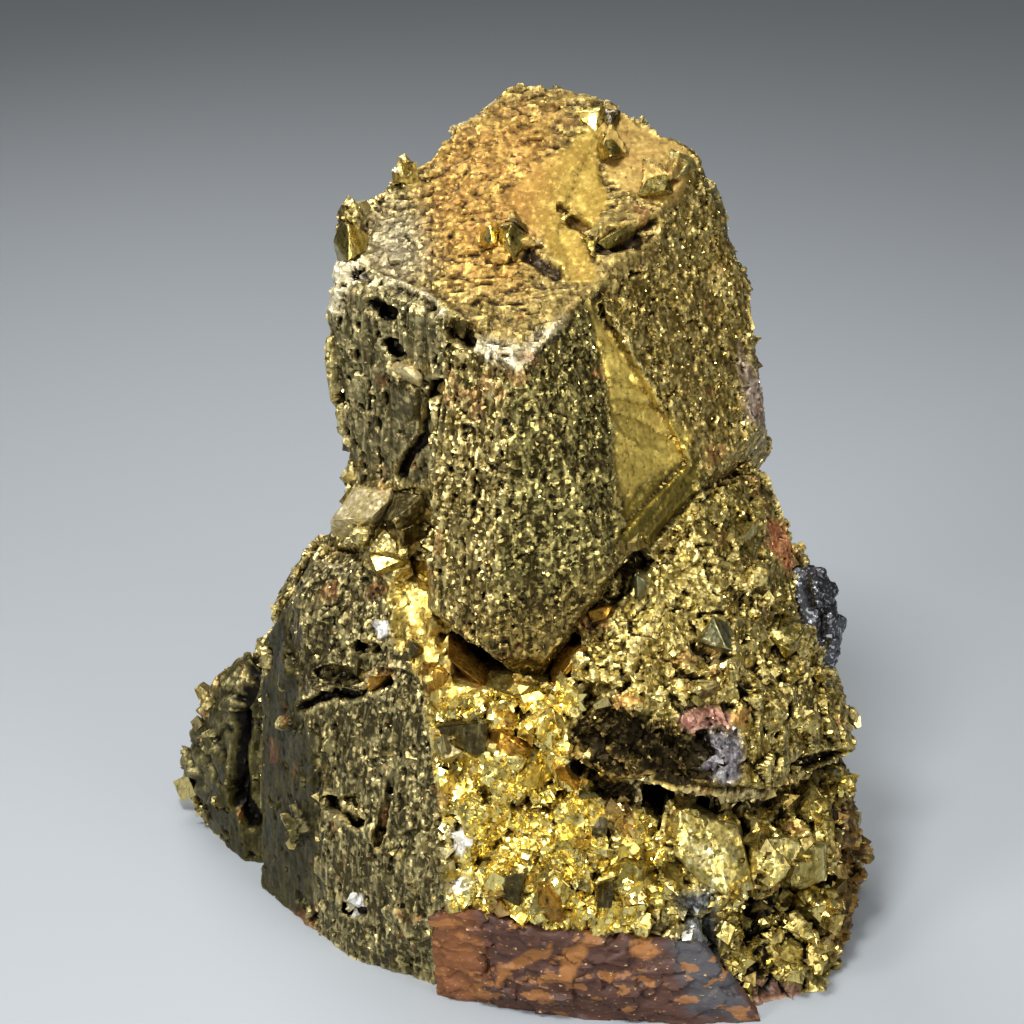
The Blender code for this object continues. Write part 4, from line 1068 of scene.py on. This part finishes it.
def grow_crystals(name, surface, finish, table, template, material, dice):
    """Set many small crystals on the cluster's surface, as many to each zone as a table says."""
    points, _, normals = mesh_arrays(surface)
    weights = zone_weights(points, normals)
    keep = floor_free(points, normals) * (points[:, 2] > 1.0) * ramp(-finish["hollow"], -0.3, -0.12)
    keep *= clear_of_shown(points, normals)
    triangles, shares = spread_points(surface, blend_of(weights, table, 0) * keep, dice)

    def at(values):
        return (values[triangles] * (shares if values.ndim == 1 else shares[..., None])).sum(axis=1)

    count = len(triangles)
    here = {zone: at(weights[zone]) for zone in table}
    total = sum(here.values()) + 1e-9
    low, high, lean, stand, share = (blend_of(here, table, column) / total for column in (1, 2, 3, 4, 5))
    # Most are nearly as narrow as they may be
    width = low + (high - low) * dice.random(count) ** 2.2
    outward = at(normals)
    direction = outward + lean[:, None] * dice.normal(size=(count, 3))
    direction /= np.linalg.norm(direction, axis=1)[:, None]
    sizes = width[:, None] * dice.uniform((0.75, 0.75, 0.5), 1.3, (count, 3))
    places = at(points) + outward * (stand * width)[:, None]
    places[:, 2] = np.maximum(places[:, 2], LOWEST_CORNER + 0.85 * width)
    # Bright ones are at least half way to the bright colour, and the rest stay near the colour of the ground
    bright = dice.random(count) < share
    mix = np.where(bright, dice.uniform(0.5, 1.0, count), dice.uniform(-0.25, 0.3, count))
    values = {key: at(value) for key, value in finish.items()}
    lit = values["ground"] + np.clip(mix, 0, 1)[:, None] * (values["bright"] - values["ground"])
    dim = np.clip(-mix, 0, 1)[:, None] * (values["dark"] - values["ground"])
    values["ground"] = lit + dim
    values["rough"] = values["rough"] - 0.14 * bright
    values["hollow"] = np.full(count, -0.03)
    values["grainy"] = np.full(count, 0.2)
    # The pieces go from the lowest crystals to the highest
    order = np.argsort(places[:, 2])
    parts = np.array_split(order, math.ceil(count / MOST_GRAINS_IN_PIECE))
    for number, part in enumerate(parts, start=1):
        frames = frames_about(direction[part], dice)
        made = joined_crystals(places[part], frames, sizes[part], template)
        each = len(template[0])
        put_finish(made, {key: np.repeat(value[part], each, axis=0) for key, value in values.items()})
        add_piece(f"{name}_{number}", made, material)


# Materials

def add(tree, kind, inputs=None, **settings):
    """Add a node with its settings. An input is a value or another node's output.

    Some inputs go by number: 1 to 4 of a Map Range are the ends of the range that it takes and of the one
    that it gives, and 0, 6 and 7 of a Mix are the share and the two colours.
    """
    node = tree.nodes.new(kind)
    for name, value in settings.items():
        setattr(node, name, value)
    for socket, value in (inputs or {}).items():
        if isinstance(value, bpy.types.NodeSocket):
            tree.links.new(value, node.inputs[socket])
        else:
            node.inputs[socket].default_value = value
    return node


def new_material(name):
    """An empty material with its shader and the object's coordinates."""
    made = bpy.data.materials.new(name)
    made.use_nodes = True
    tree = made.node_tree
    tree.nodes.clear()
    shader = add(tree, "ShaderNodeBsdfPrincipled")
    add(tree, "ShaderNodeOutputMaterial", {"Surface": shader.outputs[0]})
    place = add(tree, "ShaderNodeTexCoord").outputs["Object"]
    return made, tree, shader, place


def per_mm(size):
    """The scale that makes a pattern's features a size in millimetres."""
    return 1.0 / (size * MM)


def tarnished_chalcopyrite():
    """Chalcopyrite, natural crystal faces: brassy metal under a thin tarnish, so that facets flash."""
    made, tree, shader, place = new_material("tarnished_chalcopyrite")
    ground, bright, dark = (
        add(tree, "ShaderNodeAttribute", attribute_name=name).outputs["Color"]
        for name in ("ground", "bright", "dark")
    )
    metal, rough, hollow, grainy = (
        add(tree, "ShaderNodeAttribute", attribute_name=name).outputs["Fac"]
        for name in ("metal", "rough", "hollow", "grainy")
    )

    upright = add(tree, "ShaderNodeMapping", {"Vector": place, "Scale": (1.0, 1.0, 0.14)}).outputs[0]
    mottle, speckle, lines = (
        add(tree, "ShaderNodeTexNoise", {"Vector": at, "Scale": scale, "Detail": detail}).outputs[0]
        for at, scale, detail in (
            (place, per_mm(2.4), 5.0),
            (place, per_mm(0.5), 3.0),
            (upright, per_mm(0.6), 3.0),
        )
    )
    cells = add(tree, "ShaderNodeTexVoronoi", {"Vector": place, "Scale": per_mm(0.5)}).outputs["Color"]
    dice = add(tree, "ShaderNodeSeparateColor", {0: cells}).outputs[0]
    ridge = add(tree, "ShaderNodeMapRange", {"Value": hollow, 1: -0.02, 2: -0.2, 3: 0.0, 4: 0.5}).outputs[0]
    patch = add(tree, "ShaderNodeMapRange", {"Value": mottle, 1: 0.5, 2: 0.72, 3: 0.0, 4: 0.4}).outputs[0]
    shining = add(tree, "ShaderNodeMapRange", {"Value": dice, 1: 0.74, 2: 0.9, 3: 0.0, 4: 0.8}).outputs[0]
    streak = add(tree, "ShaderNodeMapRange", {"Value": lines, 1: 0.54, 2: 0.68, 3: 0.0, 4: 0.5}).outputs[0]
    lift = add(tree, "ShaderNodeMath", {0: shining, 1: grainy}, operation="MULTIPLY").outputs[0]
    for share in (ridge, patch, streak):
        lift = add(tree, "ShaderNodeMath", {0: lift, 1: share}, operation="ADD").outputs[0]
    # Darker in hollows: tarnish, and in the pits and crevices painted shade as well
    pit = add(tree, "ShaderNodeMapRange", {"Value": hollow, 1: 0.03, 2: 0.26, 3: 0.0, 4: 1.0}).outputs[0]
    speck = add(tree, "ShaderNodeMapRange", {"Value": speckle, 1: 0.42, 2: 0.3, 3: 0.0, 4: 0.6}).outputs[0]
    line = add(tree, "ShaderNodeMapRange", {"Value": lines, 1: 0.45, 2: 0.3, 3: 0.0, 4: 0.5}).outputs[0]
    dull = add(tree, "ShaderNodeMapRange", {"Value": dice, 1: 0.3, 2: 0.16, 3: 0.0, 4: 0.6}).outputs[0]
    sunk = add(tree, "ShaderNodeMath", {0: dull, 1: grainy}, operation="MULTIPLY").outputs[0]
    for share in (pit, speck, line):
        sunk = add(tree, "ShaderNodeMath", {0: sunk, 1: share}, operation="ADD").outputs[0]
    lit = add(tree, "ShaderNodeMix", {0: lift, 6: ground, 7: bright}, data_type="RGBA").outputs[2]
    colour = add(tree, "ShaderNodeMix", {0: sunk, 6: lit, 7: dark}, data_type="RGBA").outputs[2]
    worn = add(tree, "ShaderNodeMapRange", {"Value": speckle, 1: 0.3, 2: 0.7, 3: -0.06, 4: 0.08}).outputs[0]
    half = (0.5, 0.5, 0.5)
    aside = add(tree, "ShaderNodeVectorMath", {0: cells, 1: half}, operation="SUBTRACT").outputs[0]
    tilt = add(tree, "ShaderNodeVectorMath", {0: aside, "Scale": grainy}, operation="SCALE").outputs[0]
    facing = add(tree, "ShaderNodeNewGeometry").outputs["Normal"]
    leaning = add(tree, "ShaderNodeVectorMath", {0: facing, 1: tilt}, operation="ADD").outputs[0]
    turned = add(tree, "ShaderNodeVectorMath", {0: leaning}, operation="NORMALIZE").outputs[0]
    height = add(tree, "ShaderNodeMath", {0: speckle, 1: lines}, operation="ADD").outputs[0]
    fine = {"Height": height, "Normal": turned, "Strength": 0.2, "Distance": 0.1 * MM}
    bump = add(tree, "ShaderNodeBump", fine)
    gloss = add(tree, "ShaderNodeMath", {0: rough, 1: worn}, operation="ADD").outputs[0]
    tree.links.new(colour, shader.inputs["Base Color"])
    tree.links.new(metal, shader.inputs["Metallic"])
    tree.links.new(gloss, shader.inputs["Roughness"])
    tree.links.new(bump.outputs[0], shader.inputs["Normal"])
    return made


def dark_sulphide():
    """A dark grey ore mineral, natural crystal faces: near black, with small pale flecks painted in as
    glints.
    """
    made, tree, shader, place = new_material("dark_sulphide")
    mottle, fleck = (
        add(tree, "ShaderNodeTexNoise", {"Vector": place, "Scale": scale, "Detail": detail}).outputs[0]
        for scale, detail in ((per_mm(0.8), 4.0), (per_mm(0.4), 2.0))
    )
    # Painted glints: pale flecks laid into the colour
    glint = add(tree, "ShaderNodeMapRange", {"Value": fleck, 1: 0.58, 2: 0.64}).outputs[0]
    greys = {0: mottle, 6: linear("#2E2E30"), 7: linear("#6A6A6C")}
    ground = add(tree, "ShaderNodeMix", greys, data_type="RGBA").outputs[2]
    colour = add(tree, "ShaderNodeMix", {0: glint, 6: ground, 7: linear("#C4C6CA")}, data_type="RGBA")
    bump = add(tree, "ShaderNodeBump", {"Height": mottle, "Strength": 0.4, "Distance": 0.15 * MM})
    tree.links.new(colour.outputs[2], shader.inputs["Base Color"])
    tree.links.new(bump.outputs[0], shader.inputs["Normal"])
    shader.inputs["Metallic"].default_value = 0.9
    shader.inputs["Roughness"].default_value = 0.3
    return made


def iron_stained_rock():
    """Rock stained by iron, broken and weathered: dull maroon with tan and orange patches."""
    made, tree, shader, place = new_material("iron_stained_rock")
    orange, slate, tan = (
        add(tree, "ShaderNodeAttribute", attribute_name=name).outputs["Fac"]
        for name in ("orange", "slate", "tan")
    )
    level = add(tree, "ShaderNodeMapping", {"Vector": place, "Scale": (1.0, 1.0, 2.2)}).outputs[0]
    broad, flecks = (
        add(tree, "ShaderNodeTexNoise", {"Vector": level, "Scale": scale, "Detail": detail}).outputs[0]
        for scale, detail in ((per_mm(3.6), 6.0), (per_mm(0.8), 4.0))
    )
    patches = add(tree, "ShaderNodeMapRange", {"Value": broad, 1: 0.58, 2: 0.61, 3: 0.0, 4: 0.7}).outputs[0]
    most_tan = add(tree, "ShaderNodeMath", {0: tan, 1: patches}, operation="MAXIMUM").outputs[0]
    fleck = add(tree, "ShaderNodeMapRange", {"Value": flecks, 1: 0.66, 2: 0.72}).outputs[0]
    colour = linear("#26150C")
    layers = (
        (flecks, "#5A3422"),
        (orange, "#7E4A1E"),
        (slate, "#3C3F43"),
        (most_tan, "#93602A"),
        (fleck, "#C2A070"),
    )
    for amount, shown in layers:
        mixed = add(tree, "ShaderNodeMix", {0: amount, 6: colour, 7: linear(shown)}, data_type="RGBA")
        colour = mixed.outputs[2]
    bump = add(tree, "ShaderNodeBump", {"Height": flecks, "Strength": 0.6, "Distance": 0.2 * MM})
    tree.links.new(colour, shader.inputs["Base Color"])
    tree.links.new(bump.outputs[0], shader.inputs["Normal"])
    shader.inputs["Roughness"].default_value = 0.6
    return made


def pale_board():
    """The pale matt board that the specimen stands on."""
    made, _, shader, _ = new_material("pale_board")
    shader.inputs["Base Color"].default_value = linear("#9CA1A5")
    shader.inputs["Roughness"].default_value = 0.8
    return made


# Pieces

def build_cluster(node, material, dice):
    """The chalcopyrite: its surface with relief, stains, painted shade and highlights, and the crystals on
    it.
    """
    fine = fine_copy(node, VOXEL)
    points, normals, hollow = raise_relief(fine, cluster_heights)
    finish = cluster_finish(points, normals, hollow)
    put_finish(fine, finish)
    surface = bpy.data.objects.new("whole_surface", fine)
    bpy.context.collection.objects.link(surface)
    build_shown_crystals(surface, material)
    for name, table, sides, tip, height in SMALL_KINDS:
        template = crystal_template(sides, tip, height)
        grow_crystals(name, fine, finish, table, template, material, dice)
    for name, mesh in divided(fine).items():
        shade(mesh, SHARP_FROM)
        add_piece(name, mesh, material, "chalcopyrite_cluster")
    bpy.data.objects.remove(surface, do_unlink=True)


def build_rock(node, material):
    """The iron-stained rock, with chips and a crack."""
    fine = fine_copy(node, FINE_VOXEL)

    def heights(points, normals):
        chips = 0.6 * facets(points, (3.4, 2.0, 1.6), 0.5, 0.7, SEED + 175)
        crack = 0.8 * ramp(-from_path(in_photo(points), ROCK_CRACK), -3.5, -1.0)
        return 0.15 + 0.25 * fractal(points, 3.0, SEED + 170) + chips - crack

    points = raise_relief(fine, heights)[0]
    wobble = np.stack([fractal(points, 2.0, SEED + 176 + axis, 2) for axis in (0, 4)], axis=1)
    pixels = in_photo(points) + 5.0 * wobble
    put_values(fine, "orange", 0.8 * ramp(inside_by(pixels, ROCK_ORANGE), -12, 8))
    put_values(fine, "slate", 0.8 * ramp(inside_by(pixels, ROCK_SLATE), -10, 8))
    tan = np.max([ramp(inside_by(pixels, outline), -1.5, 2) for outline in ROCK_TAN], axis=0)
    put_values(fine, "tan", 0.9 * tan)
    shade(fine, ROCK_SHARP_FROM)
    add_piece("iron_stained_rock", fine, material, "iron_stained_matrix")


def build_grey_crystal(node, material):
    """The small dark crystal on the right flank."""
    fine = fine_copy(node, FINE_VOXEL)

    def heights(points, normals):
        return 0.5 + 0.25 * facets(points, 2.8, 0.5, 0.4, SEED + 180)

    raise_relief(fine, heights)
    shade(fine, SHARP_FROM)
    add_piece("dark_crystal", fine, material, "dark_grey_crystal")


# Stage

def add_camera():
    data = bpy.data.cameras.new("camera")
    data.sensor_width = SENSOR
    data.lens = SENSOR * CAMERA_DISTANCE / MM_PER_PIXEL / PHOTO_SIDE
    data.clip_start = 0.01
    item = bpy.data.objects.new("camera", data)
    item.location = EYE * MM
    item.rotation_euler = (math.pi / 2 - CAMERA_DOWN, 0, 0)
    bpy.context.collection.objects.link(item)
    bpy.context.scene.camera = item


def add_light(name, place, toward, size, power, spread):
    """A soft square light that looks at a point."""
    data = bpy.data.lights.new(name, "AREA")
    data.shape = "SQUARE"
    data.size = size * MM
    data.energy = power
    data.spread = math.radians(spread)
    item = bpy.data.objects.new(name, data)
    item.location = Vector(place) * MM
    item.rotation_euler = (Vector(toward) - Vector(place)).to_track_quat("-Z", "Y").to_euler()
    bpy.context.collection.objects.link(item)


def add_stage():
    """The floor, the even light of the room and the lamps."""
    shape = bmesh.new()
    bmesh.ops.create_grid(shape, x_segments=1, y_segments=1, size=FLOOR_HALF_SIDE * MM)
    mesh = bpy.data.meshes.new("floor")
    shape.to_mesh(mesh)
    shape.free()
    mesh.materials.append(pale_board())
    floor = bpy.data.objects.new("floor", mesh)
    bpy.context.collection.objects.link(floor)
    world = bpy.data.worlds.new("studio")
    world.use_nodes = True
    background = world.node_tree.nodes["Background"]
    background.inputs["Color"].default_value = linear(STUDIO_GREY)
    background.inputs["Strength"].default_value = STUDIO_STRENGTH
    bpy.context.scene.world = world
    for name, entry in LIGHTS.items():
        add_light(name, *entry)
    bpy.context.scene.view_settings.view_transform = "Standard"


def main():
    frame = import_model()
    add_camera()
    dice = np.random.default_rng(SEED)
    build_cluster(frame["nodes"]["chalcopyrite_cluster"], tarnished_chalcopyrite(), dice)
    build_rock(frame["nodes"]["iron_stained_matrix"], iron_stained_rock())
    build_grey_crystal(frame["nodes"]["dark_grey_crystal"], dark_sulphide())
    add_stage()


main()
